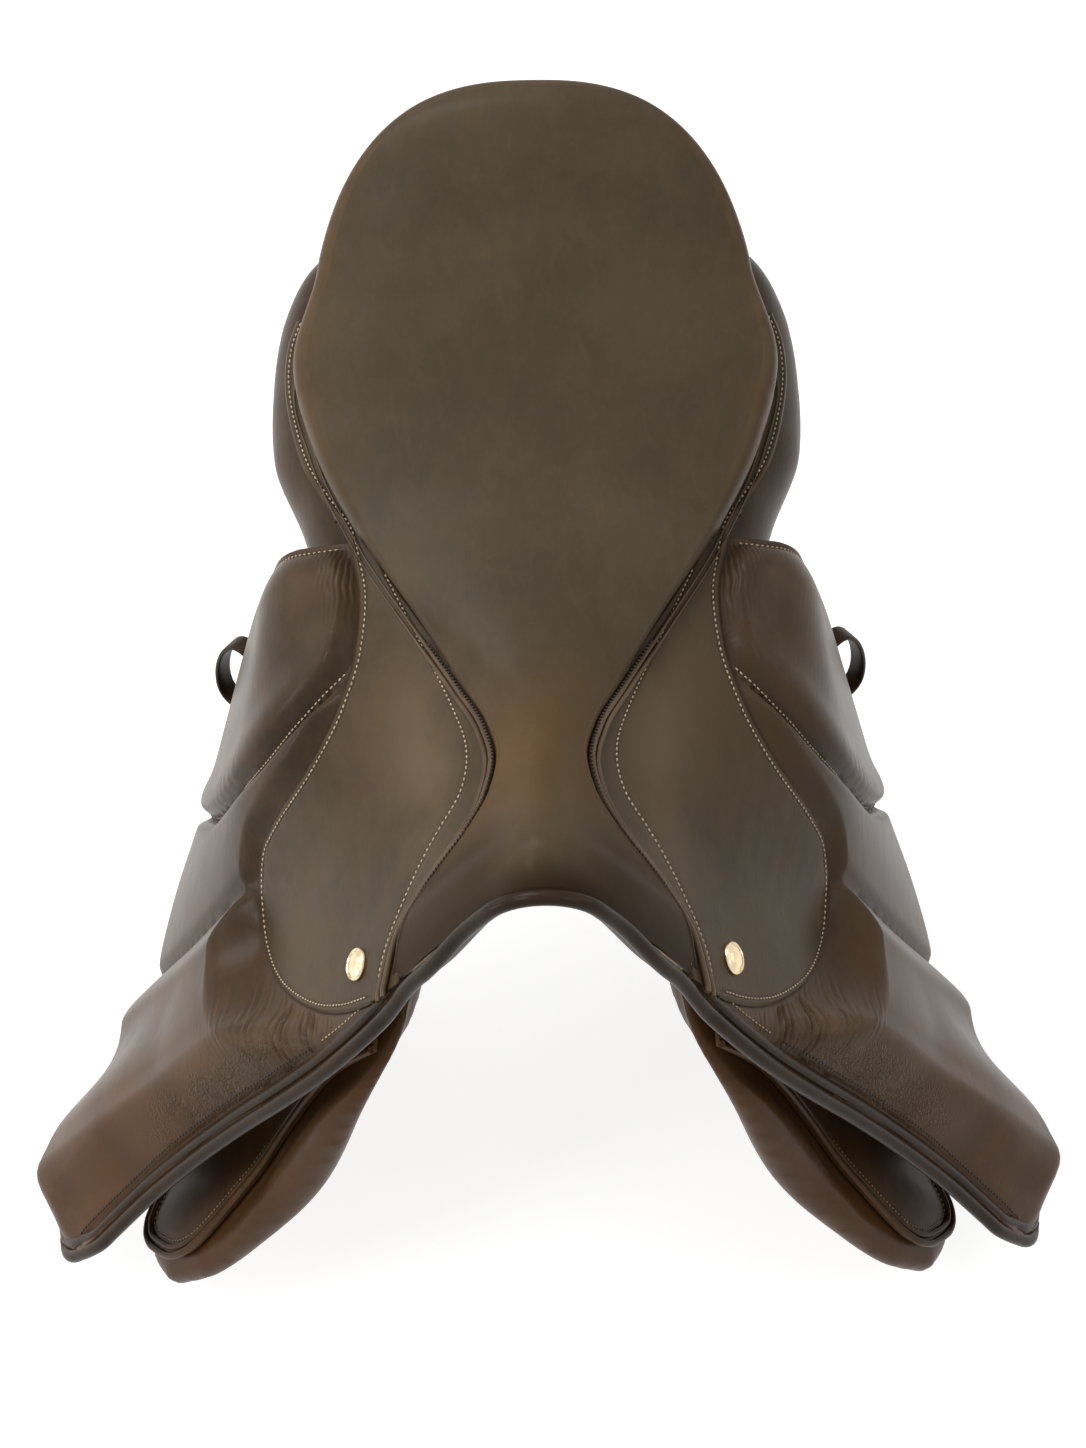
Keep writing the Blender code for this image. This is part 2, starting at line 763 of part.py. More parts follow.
def skirt_outline():
    """The lobe of the skirt that lifts off the stirrup bar."""
    edge = [SIDE.at_height(y, z) for y, z in SKIRT_EDGE_LOW]
    hinge = hinge_line(SKIRT_HINGE_FRONT, SKIRT_HINGE_REAR, SKIRT_FOLD_GAP / 2, 10)
    return apart(hinge + rounded(edge, 2, closed=False), 0.003)


def fold_height(y):
    (ya, za), (yb, zb) = FLAP_FOLD_FRONT, FLAP_FOLD_REAR
    return za + (zb - za) * (y - ya) / (yb - ya)


def fold_line(start, end, shift, steps):
    return [
        (y, SIDE.at_height(y, fold_height(y))[1] + shift)
        for y in (start + (end - start) * k / steps for k in range(steps + 1))
    ]


def flap_axis():
    """The middle and the direction of the line the flap lifts about."""
    ends = []
    for (y, z), rise in zip((FLAP_FOLD_FRONT, FLAP_FOLD_REAR), FLAP_HINGE_RISES):
        ends.append(SIDE.point(*SIDE.at_height(y, z), rise - FLAP_DEPTH))
    return (ends[0] + ends[1]) / 2, (ends[0] - ends[1]).normalized()


def flap_top_outline():
    """The flap above its fold, cut away round the stirrup bar."""
    behind = [SIDE.at_height(y, z) for y, z in FLAP_REAR_TOP]
    fold = fold_line(0.0240, -0.2705, -FLAP_FOLD_GAP / 2, 16)
    front = [SIDE.at_height(y, z) for y, z in FLAP_FRONT_TOP]
    head = [SIDE.at_width(y, seam_half_width(y) + 0.004) for y in (-0.236, -0.222)]
    cut = [SIDE.at_width(y, width) for y, width in FLAP_CUT]
    seam = [SIDE.at_width(y, seam_half_width(y) + 0.004) for y in (-0.056, -0.040, -0.024, -0.010, 0.0)]
    return (rounded(behind, 3, closed=False) + fold + rounded(front, 2, closed=False)
            + head + rounded(cut, 2, closed=False) + seam)


def flap_outline():
    """The flap below its fold."""
    fold = fold_line(-0.2730, 0.0240, FLAP_FOLD_GAP / 2, 16)
    edge = [SIDE.at_height(y, z) for y, z in FLAP_LOW_EDGE]
    return fold, rounded(edge, 2, closed=False)


def seam_on_side(points):
    return rounded([SIDE.at_height(y, z) for y, z in points], 4, closed=False)


REAR_SEAM_LINE = seam_on_side(REAR_SEAM)
KNEE_SEAM_LINE = seam_on_side(KNEE_SEAM)


def side_of(line, place):
    """Below 0 in front of a line down the side, above 0 behind it."""
    lengths = [p[1] for p in line]
    return place[0] - float(np.interp(place[1], lengths, [p[0] for p in line]))


def pad_crown(place, outline, drawn_in=0.030):
    """Height of the flap's padding over its leather: three cushions between sewn channels."""
    knee = side_of(KNEE_SEAM_LINE, place)
    rear = side_of(REAR_SEAM_LINE, place)
    crown = MIDDLE_PAD_CROWN + (KNEE_PAD_CROWN - MIDDLE_PAD_CROWN) * ease(-knee / 0.034)
    if rear > 0:
        crown = REAR_PAD_CROWN
    edge = distance_to(place, outline, True)
    seam = min(distance_to(place, KNEE_SEAM_LINE), distance_to(place, REAR_SEAM_LINE))
    pull = 1.0 - 0.72 * math.exp(-((seam / PAD_CHANNEL_WIDTH) ** 2))
    return crown * pull * math.sin(0.5 * math.pi * min(edge / drawn_in, 1.0)) ** 0.8


# Pieces

def make_tree():
    """The spring tree's laminated frame: head with its points, two rails and a raised cantle."""
    outer = [
        (-0.226, 0.0), SIDE.at_width(-0.226, 0.030), SIDE.at_width(-0.226, 0.060),
        SIDE.at_height(-0.228, 0.000), SIDE.at_height(-0.228, -0.030), SIDE.at_height(-0.214, -0.038),
        SIDE.at_height(-0.203, -0.028), SIDE.at_height(-0.198, -0.012), SIDE.at_width(-0.180, 0.1170),
        SIDE.at_width(-0.120, 0.1120), SIDE.at_width(-0.102, 0.100), SIDE.at_width(-0.090, 0.080),
        SIDE.at_width(-0.040, 0.074),
        SIDE.at_width(0.030, 0.082), SIDE.at_width(0.090, 0.098), SIDE.at_width(0.140, 0.092),
        SIDE.at_width(0.175, 0.072), SIDE.at_width(0.195, 0.040), (0.200, 0.0),
    ]
    outer = spaced(outer, 0.022, closed=False)
    right = [(y, -s) for y, s in reversed(outer[1:-1])]
    opening = [(-0.186, 0.0), SIDE.at_width(-0.176, 0.026), SIDE.at_width(-0.140, 0.036),
               SIDE.at_width(-0.060, 0.040), SIDE.at_width(0.020, 0.048), SIDE.at_width(0.090, 0.056),
               SIDE.at_width(0.130, 0.046), (0.148, 0.0)]
    opening = spaced(opening, 0.020, closed=False)
    opening += [(y, -s) for y, s in reversed(opening[1:-1])]
    tree = sheet("tree_frame", outer + right, lambda y, s: TREE_DEPTH - cantle_lift(y), TREE_BOARD,
                 "beech_ply", 0.020, [opening])
    for side in (1, -1):
        pocket = cutter_from(f"bar_pocket_{side}", bar_pocket_mesh(side))
        boolean(tree, pocket)
        hole = cutter_from(f"nail_hole_{side}", nail_hole_mesh(side))
        boolean(tree, hole)
    return tree


def bar_frame(side=1):
    """The stirrup bar's frame: X towards the front, Z out of the saddle."""
    front = SIDE.point(*SIDE.at_width(BAR_MIDDLE_PLACE - BAR_LENGTH / 2, BAR_MIDDLE_WIDTH))
    rear = SIDE.point(*SIDE.at_width(BAR_MIDDLE_PLACE + BAR_LENGTH / 2, BAR_MIDDLE_WIDTH - 0.006))
    middle = SIDE.at_width(BAR_MIDDLE_PLACE, BAR_MIDDLE_WIDTH - 0.003)
    out = SIDE.normal(*middle)
    place = SIDE.point(*middle) - out * (BAR_TOP_DEPTH + BAR_PLATE_THICKNESS + BAR_SLOT + BAR_THICKNESS)
    frame = frame_at(place, front - rear, out)
    if side < 0:
        mirror = Matrix.Scale(-1.0, 4, Vector((1.0, 0.0, 0.0)))
        frame = mirror @ frame
    return frame


def in_bar_frame(mesh, side):
    mesh.transform(bar_frame(side))
    if side < 0:
        mesh.flip_normals()
    return mesh


def bar_pocket_mesh(side):
    size = (BAR_LENGTH + 2 * 0.006, BAR_PLATE_HEIGHT + 2 * 0.004, 0.030)
    return in_bar_frame(block_mesh(size, Matrix.Translation((0, 0, size[2] / 2 - FIT_GAP))), side)


NAIL_PLACE = SIDE.at_height(-0.2125, 0.022)


def nail_frame(side=1):
    out = SIDE.normal(*NAIL_PLACE)
    down = SIDE.point(NAIL_PLACE[0], NAIL_PLACE[1] + 0.005) - SIDE.point(NAIL_PLACE[0], NAIL_PLACE[1] - 0.005)
    frame = frame_at(SIDE.point(*NAIL_PLACE), down, out)
    if side < 0:
        frame = Matrix.Scale(-1.0, 4, Vector((1.0, 0.0, 0.0))) @ frame
    return frame


def nail_hole_mesh(side):
    mesh = pin_mesh(NAIL_SHANK_RADIUS + FIT_GAP, 0.060, Matrix.Identity(4), 12)
    mesh.transform(nail_frame(side))
    if side < 0:
        mesh.flip_normals()
    return mesh


def make_head_plates():
    """Steel head plate over the arch and gullet plate under it."""
    head = spaced([(-0.222, -0.070), (-0.204, -0.070), (-0.204, 0.070), (-0.222, 0.070)], 0.014)
    sheet("head_plate", head, WEB_DEPTH, WEB_THICKNESS - LAYER_GAP / 4, "steel", 0.014)
    reach = SIDE.at_height(-0.212, 0.0)[1]
    gullet = spaced([(-0.223, -reach), (-0.202, -reach), (-0.202, reach), (-0.223, reach)], 0.014)
    sheet("gullet_plate", gullet, UNDER_TREE + 2 * LAYER_GAP, SPRING_STEEL, "steel", 0.014)


def make_springs():
    """Steel strips that stiffen the tree's rails."""
    line = [SIDE.at_width(-0.180, 0.048), SIDE.at_width(-0.130, 0.048), SIDE.at_width(-0.050, 0.052),
            SIDE.at_width(0.030, 0.064), SIDE.at_width(0.085, 0.076)]
    line = rounded(line, 3, closed=False)
    band = [(y, s + 0.007) for y, s in line] + [(y, s - 0.007) for y, s in reversed(line)]
    left = sheet("spring_left", band, SPRING_DEPTH, SPRING_STEEL, "steel", 0.016)
    other_side(left, "spring_right")


def make_seat_webs():
    """The webbing strained over the tree that carries the seat."""
    half = 0.026
    cross = [(0.012, 0.072), (0.048, 0.084)]
    outline = [
        (-0.196, half - 0.006), (cross[0][0], half), cross[0], cross[1], (cross[1][0], half), (0.164, half)]
    outline = spaced(outline + [(y, -s) for y, s in reversed(outline)], 0.022)
    sheet("seat_webbing", outline, lambda y, s: WEB_DEPTH - LAYER_GAP / 2 - cantle_lift(y), WEB_THICKNESS,
          "linen_web", 0.022)


def seat_top(y, share):
    """Height of the seat's leather across its width."""
    roundness = 1.6 + 0.9 * ease((y + 0.20) / 0.16)
    low = seat_edge_level(y)
    return seat_middle_height(y) - (seat_middle_height(y) - low) * share**roundness


def seat_ring(y, inset=0.0):
    """Half a ring of the seat: over the top, round the rolled edge and in to its seam."""
    half = inner_half_width(y, inset)
    roll = edge_roll(y)
    tuck = seam_half_width(y, inset)
    ring = [(half * share, seat_top(y, share) - inset) for share in SEAT_SHARES]
    edge = seat_edge_level(y)
    ring.append((half * 0.985, edge - inset * 0.7 - roll * 0.16))
    ring.append((half, edge - inset * 0.3 - roll * 0.48))
    ring.append((half * 0.35 + tuck * 0.65, edge - roll * 0.86 + inset * 0.3))
    seam = SIDE.at_width(y, tuck)
    floor = SIDE.point(*seam, 0.0006 + inset * 0.4)
    if edge - roll > floor.z + 0.006:
        ring.append((tuck, edge - roll + inset * 0.5))
    else:
        ring.append((tuck, floor.z))
    for k in range(1, len(ring)):
        ring[k] = (ring[k][0], min(ring[k][1], ring[k - 1][1] - 0.0006))
    return ring


def make_seat():
    """The seat's foam, and the leather drawn over it."""
    rings = []
    for y in SEAT_STATIONS:
        half = seat_ring(y)
        ring = [(-x, z) for x, z in reversed(half[1:])] + half
        rings.append([(x, y, z) for x, z in ring])
    size = len(rings[0])
    points = [p for ring in rings for p in ring]
    faces = [
        [k * size + j, (k + 1) * size + j, (k + 1) * size + j + 1, k * size + j + 1]
        for k in range(len(rings) - 1) for j in range(size - 1)
    ]
    last = (len(rings) - 1) * size
    centre = size // 2
    for j in range(centre):
        a, b, c, d = last + j, last + j + 1, last + size - 2 - j, last + size - 1 - j
        faces.append([a, d, c, b] if b != c else [a, d, b])
    mesh = mesh_of(points, faces)
    cover = part_from("seat_cover", mesh, "seat_leather", smooth=False)
    if cover.data.polygons[centre].normal.z < 0:
        cover.data.flip_normals()
    solidify(cover, SEAT_LEATHER).modifiers["leather"].use_even_offset = False
    applied(cover)

    inset = SEAT_LEATHER + 2 * LAYER_GAP
    foam_rings = []
    for y in SEAT_STATIONS:
        place = min(max(y, POMMEL_FRONT + 0.004), SEAT_STATIONS[-1] - inset)
        if y > 0.19:
            place = y - inset * (y - 0.19) / (SEAT_STATIONS[-1] - 0.19)
        half = seat_ring(place, inset)
        lift = cantle_lift(place)
        seat_floor = []
        for share in (0.9, 0.6, 0.3, 0.0):
            width = half[-1][0] * share
            room = 2 * LAYER_GAP if share > 0.5 else 4 * LAYER_GAP
            seat_floor.append((width, SIDE.under(place, width, WEB_DEPTH - room) + lift))
        half = half + seat_floor
        ring = half + [(-x, z) for x, z in reversed(half[1:-1])]
        foam_rings.append([(x, place, z) for x, z in ring])
    loft("seat_foam", foam_rings, "foam")


def make_pommel_roll():
    """The leather roll that finishes the arch of the pommel."""
    reach = SIDE.at_height(-0.238, 0.052)[1]
    count = 22
    path = []
    for k in range(count + 1):
        s = reach * (2 * k / count - 1)
        path.append(SIDE.point(-0.2398, s, 0.0035 - 0.004 * (s / reach) ** 2))
    tube("pommel_roll", path, POMMEL_ROLL_RADIUS, "seat_leather", 2)


def make_welts():
    """The piping sewn along the seam between seat and skirts."""
    path = []
    for y, s in seam_line(POMMEL_FRONT + 0.006, 0.012, 20, WELT_RADIUS + 0.0012):
        path.append(SIDE.point(y, s, WELT_RADIUS + FIT_GAP))
    left = tube("seat_welt_left", path, WELT_RADIUS, "seat_leather", 1)
    other_side(left, "seat_welt_right")


def make_cantle_facing():
    """The leather wall under the back of the seat."""
    run = FACING_BACK - FACING_FRONT
    places = [FACING_FRONT + run * math.sin(0.5 * math.pi * k / 9) for k in range(10)]
    line = [(seam_half_width(y) - SEAT_LEATHER / 2, y) for y in places]
    line += [(0.0, FACING_BACK)] + [(-x, y) for x, y in reversed(line)]
    count = len(line) - 1
    low, high = [], []
    for x, y in line:
        side = SIDE.at_width(y, abs(x))
        base = SIDE.point(*side, -PANEL_DEPTH).z
        top = seat_edge_level(y) - edge_roll(y) - SEAT_LEATHER - LAYER_GAP
        low.append(Vector((x, y, base)))
        high.append(Vector((x, y, max(top, base + 0.004))))
    points = low + high
    faces = [[k, k + 1, k + 2 + count, k + 1 + count] for k in range(count)]
    part = part_from("cantle_facing", mesh_of(points, faces), "seat_leather", smooth=False)
    if part.data.polygons[0].normal.x < 0:
        part.data.flip_normals()
    solidify(part, SEAT_LEATHER)
    applied(part)


def make_skirts():
    """The skirts: sewn down by the seat, and a lobe that lifts over the stirrup bar."""
    for side, hand in ((1, "left"), (-1, "right")):
        if side > 0:
            base = sheet("skirt_base_left", skirt_base_outline(), 0.0, SKIRT_LEATHER, "skirt_leather", 0.019)
            boolean(base, cutter_from("skirt_nail_hole", nail_hole_mesh(1)))
            lobe = sheet("skirt_left", skirt_outline(), 0.0, SKIRT_LEATHER, "skirt_leather", 0.018)
            hang(lobe, skirt_axis()[0])
        else:
            other_side(base, "skirt_base_right")
            other_side(lobe, "skirt_right")


def make_nails():
    """The oval saddle nails that pin skirt and flap to the tree's points."""
    work = bmesh.new()
    bmesh.ops.create_uvsphere(work, u_segments=16, v_segments=8, radius=1.0)
    bmesh.ops.scale(work, vec=(NAIL_LENGTH / 2, NAIL_WIDTH / 2, NAIL_DOME), verts=work.verts)
    bmesh.ops.bisect_plane(work, geom=work.verts[:] + work.edges[:] + work.faces[:], dist=1e-6,
                           plane_co=(0, 0, 0), plane_no=(0, 0, -1), clear_outer=True)
    bmesh.ops.holes_fill(work, edges=work.edges)
    bmesh.ops.recalc_face_normals(work, faces=work.faces)
    bmesh.ops.transform(work, matrix=Matrix.Translation((0, 0, 0.0006)), verts=work.verts)
    mesh = bpy.data.meshes.new("dome")
    work.to_mesh(mesh)
    work.free()
    head = part_from("saddle_nail_left", mesh, "pale_gold", smooth=False)
    length = UNDER_TREE - 0.002
    place = Matrix.Translation((0, 0, 0.0015 - length / 2))
    shank = part_from("shank", pin_mesh(NAIL_SHANK_RADIUS, length, place, 12),
                      "pale_gold", smooth=False)
    boolean(head, shank, "UNION")
    head.data.transform(nail_frame())
    other_side(head, "saddle_nail_right")


def make_flaps():
    """The flaps: nailed to the tree, folding below the skirt, padded outside with two sewn channels."""
    top_outline = flap_top_outline()
    fold, low_edge = flap_outline()
    low_outline = fold + low_edge
    whole = [SIDE.at_height(y, z) for y, z in FLAP_REAR_TOP + FLAP_LOW_EDGE + FLAP_FRONT_TOP]
    whole = rounded(whole, 2, closed=False) + [SIDE.at_width(-0.236, POMMEL_HALF_WIDTH), (-0.150, 0.060)]
    skirt_cover = rounded([SIDE.at_height(y, z) for y, z in SKIRT_EDGE_LOW], 2, closed=False)
    skirt_cover = [SIDE.at_height(0.012, 0.0712)] + skirt_cover
    skirt_cover += [SIDE.at_width(-0.240, 0.080), (-0.150, 0.02)]
    rim = [pushed_out(place, skirt_cover, 0.003) for place in skirt_cover[1:-2:2]]
    rim = [place for place in rim
           if inside(place, top_outline) and distance_to(place, top_outline, True) > 0.004]

    def under_skirt(place):
        if inside(place, skirt_cover):
            return 0.0
        return ease((distance_to(place, skirt_cover, True) - 0.0032) / 0.014)

    def top_level(y, s):
        return FLAP_DEPTH - (PAD_EDGE + LAYER_GAP + pad_crown((y, s), whole)) * under_skirt((y, s))

    top = slab("flap_top_left", top_outline, top_level, lambda y, s: UNDER_FLAP, "flap_leather", 0.0180,
               [rim])
    boolean(top, cutter_from("flap_nail_hole", nail_hole_mesh(1)))
    flap = sheet("flap_left", low_outline, FLAP_DEPTH, FLAP_LEATHER, "flap_leather", 0.030)

    def pad_top(y, s):
        return FLAP_DEPTH - PAD_EDGE - LAYER_GAP - pad_crown((y, s), whole) * under_skirt((y, s))

    inner = fold + [pulled_in(p, low_outline, PAD_SET_BACK) for p in low_edge[1:-1]]
    pad = slab("flap_pad_left", inner, pad_top, lambda y, s: FLAP_DEPTH - 2 * LAYER_GAP, "flap_leather",
               0.0195)
    for part in (flap, pad):
        hang(part, flap_axis()[0])
    for part in (top, flap, pad):
        other_side(part, part.name.replace("_left", "_right"))


def pushed_out(place, outline, amount):
    """The outline's place moved outwards by an amount square to the edge."""
    inner = pulled_in(place, outline, amount)
    return (2 * place[0] - inner[0], 2 * place[1] - inner[1])


def pulled_in(place, outline, amount):
    """The place moved towards the outline's middle by an amount square to the edge."""
    k = min(range(len(outline)), key=lambda n: math.dist(outline[n], place))
    before, after = outline[k - 1], outline[(k + 1) % len(outline)]
    along = (after[0] - before[0], after[1] - before[1])
    size = math.hypot(*along)
    for turn in (1, -1):
        moved = (place[0] - turn * along[1] / size * amount, place[1] + turn * along[0] / size * amount)
        if inside(moved, outline):
            return moved
    return place


def make_bindings():
    """The rolled edge down the front of each flap below its fold."""
    edge = [p for p in FLAP_LOW_EDGE if p[0] < -0.20]
    fold, low_edge = flap_outline()
    low_outline = fold + low_edge
    path = []
    line = rounded([SIDE.at_height(y, z) for y, z in edge], 3, closed=False)
    for before, here, after in zip([line[0]] + line[:-1], line, line[1:] + [line[-1]]):
        along = (after[0] - before[0], after[1] - before[1])
        size = math.hypot(*along) / (BINDING_RADIUS + 1.8 * LAYER_GAP)
        place = (here[0] - along[1] / size, here[1] + along[0] / size)
        if inside(place, low_outline):
            place = (here[0] + along[1] / size, here[1] - along[0] / size)
        path.append(SIDE.point(*place, -FLAP_DEPTH - FLAP_LEATHER / 2))
    left = tube("flap_binding_left", path, BINDING_RADIUS, "flap_leather", 1)
    hang(left, flap_axis()[0])
    other_side(left, "flap_binding_right")


def make_keepers():
    """The strap loops that stand off the back edge of each flap."""
    upper = SIDE.point(*SIDE.at_height(0.0238, -0.070), -FLAP_DEPTH + 0.004)
    lower = SIDE.point(*SIDE.at_height(0.0238, -0.070 - KEEPER_LENGTH), -FLAP_DEPTH + 0.004)
    out = (SIDE.normal(*SIDE.at_height(0.0225, -0.095)) + Vector((0, 0.85, 0))).normalized()
    run = (lower - upper).normalized()
    out = (out - run * out.dot(run)).normalized()
    broad = run.cross(out)
    middle = (upper + lower) / 2
    count = 12
    rings = []
    for k in range(count + 1):
        turn = math.pi * k / count
        stand = KEEPER_REACH * math.sin(turn) ** 0.8
        centre = middle - run * (KEEPER_LENGTH / 2 * math.cos(turn)) + out * stand
        away = -run * math.cos(turn) / (KEEPER_LENGTH / 2) + out * math.sin(turn) / KEEPER_REACH
        away.normalize()
        a, b = broad * (KEEPER_WIDTH / 2), away * (KEEPER_LEATHER / 2)
        rings.append([centre - a - b, centre + a - b, centre + a + b, centre - a + b])
    left = loft("keeper_left", rings, "strap_leather")
    hang(left, flap_axis()[0])
    other_side(left, "keeper_right")


def in_frame(name, size, place, rounding=0.0):
    """A steel block in the stirrup bar's frame."""
    return part_from(name, block_mesh(size, Matrix.Translation(place), rounding), "steel", smooth=False)


def catch_place(side=1):
    """Where the catch's pin crosses the bar."""
    return bar_frame(side) @ Vector((CATCH_PIN_PLACE, 0, BAR_PLATE_THICKNESS + BAR_SLOT + BAR_THICKNESS / 2))


def make_bars():
    """The stirrup bars: a plate on the tree, a finger stood off it, and a catch that turns up on its tip."""
    level = BAR_PLATE_THICKNESS + BAR_SLOT + BAR_THICKNESS / 2
    front = BAR_LENGTH / 2 - 0.001
    plate = in_frame("stirrup_bar_left", (BAR_LENGTH, BAR_PLATE_HEIGHT, BAR_PLATE_THICKNESS),
                     (0, 0, BAR_PLATE_THICKNESS / 2), 0.001)
    post = in_frame("post", (BAR_POST_LENGTH, BAR_HEIGHT, level),
                    (front - BAR_POST_LENGTH / 2, 0, 0.001 + level / 2))
    tip = CATCH_PIN_PLACE - CATCH_TIP
    finger = in_frame("finger", (front - tip, BAR_HEIGHT, BAR_THICKNESS), ((front + tip) / 2, 0, level),
                      0.001)
    boolean(plate, post, "UNION")
    boolean(plate, finger, "UNION")
    fork = cutter_from("catch_fork", block_mesh(
        (2 * CATCH_CLEAR, 2 * BAR_HEIGHT, CATCH_THICKNESS + 4 * FIT_GAP),
        Matrix.Translation((CATCH_PIN_PLACE, 0, level))))
    boolean(plate, fork)
    across = Matrix.Translation((CATCH_PIN_PLACE, 0, level))
    hole = cutter_from("catch_hole", pin_mesh(CATCH_PIN_RADIUS + FIT_GAP, 2 * BAR_THICKNESS, across, 12))
    boolean(plate, hole)
    catch = in_frame("bar_catch_left", (CATCH_LENGTH, CATCH_HEIGHT, CATCH_THICKNESS),
                     (CATCH_PIN_PLACE + CATCH_HEEL - CATCH_LENGTH / 2, 0, level), 0.0006)
    boolean(catch, hole)
    pin = part_from("catch_pin_left", pin_mesh(CATCH_PIN_RADIUS, BAR_THICKNESS - 2 * FIT_GAP, across, 12),
                    "steel", smooth=False)
    for part in (plate, catch, pin):
        part.data.transform(bar_frame())
    hang(catch, catch_place())
    for part in (plate, catch, pin):
        other_side(part, part.name.replace("_left", "_right"))


def make_girthing():
    """Webs over the tree's rails, three girth straps on each side and the guard that gathers them."""
    reach = STRAP_PITCH + STRAP_WIDTH / 2 + 0.003
    web = [(STRAP_MIDDLE_PLACE - reach, 0.046), (STRAP_MIDDLE_PLACE + reach, 0.046),
           (STRAP_MIDDLE_PLACE + reach, 0.1), (STRAP_MIDDLE_PLACE + reach, STRAP_TOP + WEB_LAP),
           (STRAP_MIDDLE_PLACE - reach, STRAP_TOP + WEB_LAP)]

    left_web = sheet("girth_web_left", spaced(web, 0.020), WEB_DEPTH, WEB_THICKNESS, "linen_web", 0.020)
    boolean(left_web, cutter_from("web_bar_pocket", bar_pocket_mesh(1)))
    other_side(left_web, "girth_web_right")

    def strap_depth(y, s):
        return strap_level(s)

    for n, kind in ((-1, "front"), (0, "middle"), (1, "rear")):
        y = STRAP_MIDDLE_PLACE + n * STRAP_PITCH
        end = SIDE.at_height(y, -0.240)[1]
        half = STRAP_WIDTH / 2
        outline = spaced([(y - half, STRAP_TOP), (y + half, STRAP_TOP), (y + half, end - 0.014),
                          (y + 0.004, end), (y - 0.004, end), (y - half, end - 0.014)], 0.028)
        holes = []
        for k in range(STRAP_HOLES):
            s = end - 0.030 - k * STRAP_HOLE_PITCH
            holes.append([(y + STRAP_HOLE_RADIUS * math.cos(math.pi * (j + 0.5) / 3),
                           s + STRAP_HOLE_RADIUS * math.sin(math.pi * (j + 0.5) / 3)) for j in range(6)])
        left = sheet(f"girth_strap_{kind}_left", outline, strap_depth, STRAP_LEATHER, "strap_leather", 0.028,
                     holes)
        hang(left, strap_pivot())
        other_side(left, f"girth_strap_{kind}_right")

    guard_low, guard_high = GUARD_PLACE + GUARD_HEIGHT / 2, GUARD_PLACE - GUARD_HEIGHT / 2
    guard_half = STRAP_PITCH + STRAP_WIDTH / 2 + 0.006
    front, rear = STRAP_MIDDLE_PLACE - guard_half, STRAP_MIDDLE_PLACE + guard_half
    outline = spaced([(front, guard_high), (rear, guard_high), (rear, guard_low), (front, guard_low)], 0.016)
    outer = slab("strap_guard_left", outline, lambda y, s: strap_level(s) - GUARD_CLEAR - GUARD_WALL,
                 lambda y, s: strap_level(s) + STRAP_LEATHER + GUARD_CLEAR + GUARD_WALL, "strap_leather",
                 0.020)
    inner_half = guard_half - 0.003
    front, rear = STRAP_MIDDLE_PLACE - inner_half, STRAP_MIDDLE_PLACE + inner_half
    high, low = guard_high - 0.01, guard_low + 0.01
    tunnel = spaced([(front, high), (rear, high), (rear, low), (front, low)], 0.016)
    bore = slab("tunnel", tunnel, lambda y, s: strap_level(s) - GUARD_CLEAR,
                lambda y, s: strap_level(s) + STRAP_LEATHER + GUARD_CLEAR, "strap_leather", 0.020)
    cutter = cutter_from("guard_tunnel", bore.data)
    bpy.data.objects.remove(bore, do_unlink=True)
    boolean(outer, cutter)
    hang(outer, guard_line()[0])
    other_side(outer, "strap_guard_right")


def strap_pivot():
    """Where the straps are sewn to their webs, and swing."""
    return SIDE.point(STRAP_MIDDLE_PLACE, STRAP_TOP, -strap_level(STRAP_TOP))


def guard_line():
    """The guard's middle and the way it slides down the straps."""
    ends = []
    for s in (GUARD_PLACE, GUARD_PLACE + GUARD_TRAVEL):
        ends.append(SIDE.point(STRAP_MIDDLE_PLACE, s, -strap_level(s) - STRAP_LEATHER / 2))
    return ends[0], (ends[1] - ends[0]).normalized()


def strap_level(s):
    """Depth of the straps: sewn under the web, then hanging clear of the flap."""
    return WEB_DEPTH + WEB_THICKNESS + STRAP_SEAM_GAP + STRAP_DROP * ease((s - STRAP_TOP) / 0.03)


def sweat_outline():
    outline = [
        (0.0080, 0.0150), (0.0120, -0.0400), (0.0110, -0.1000), (0.0060, -0.1650), (-0.0120, -0.2080),
        (-0.0600, -0.2280), (-0.1200, -0.2380), (-0.1850, -0.2480), (-0.2350, -0.2520), (-0.2620, -0.2380),
        (-0.2700, -0.2000), (-0.2680, -0.1400), (-0.2600, -0.0800), (-0.2500, -0.0300), (-0.2420, -0.0060),
        (-0.2000, -0.0020), (-0.1400, 0.0100), (-0.0700, 0.0250), (-0.0200, 0.0300),
    ]
    return rounded([SIDE.at_height(y, z) for y, z in outline], 2)


def make_sweat_flaps():
    """The thin inner flaps that keep the girth off the horse."""
    left = sheet("sweat_flap_left", sweat_outline(), front_depth, SWEAT_LEATHER, "panel_leather", 0.026)
    other_side(left, "sweat_flap_right")


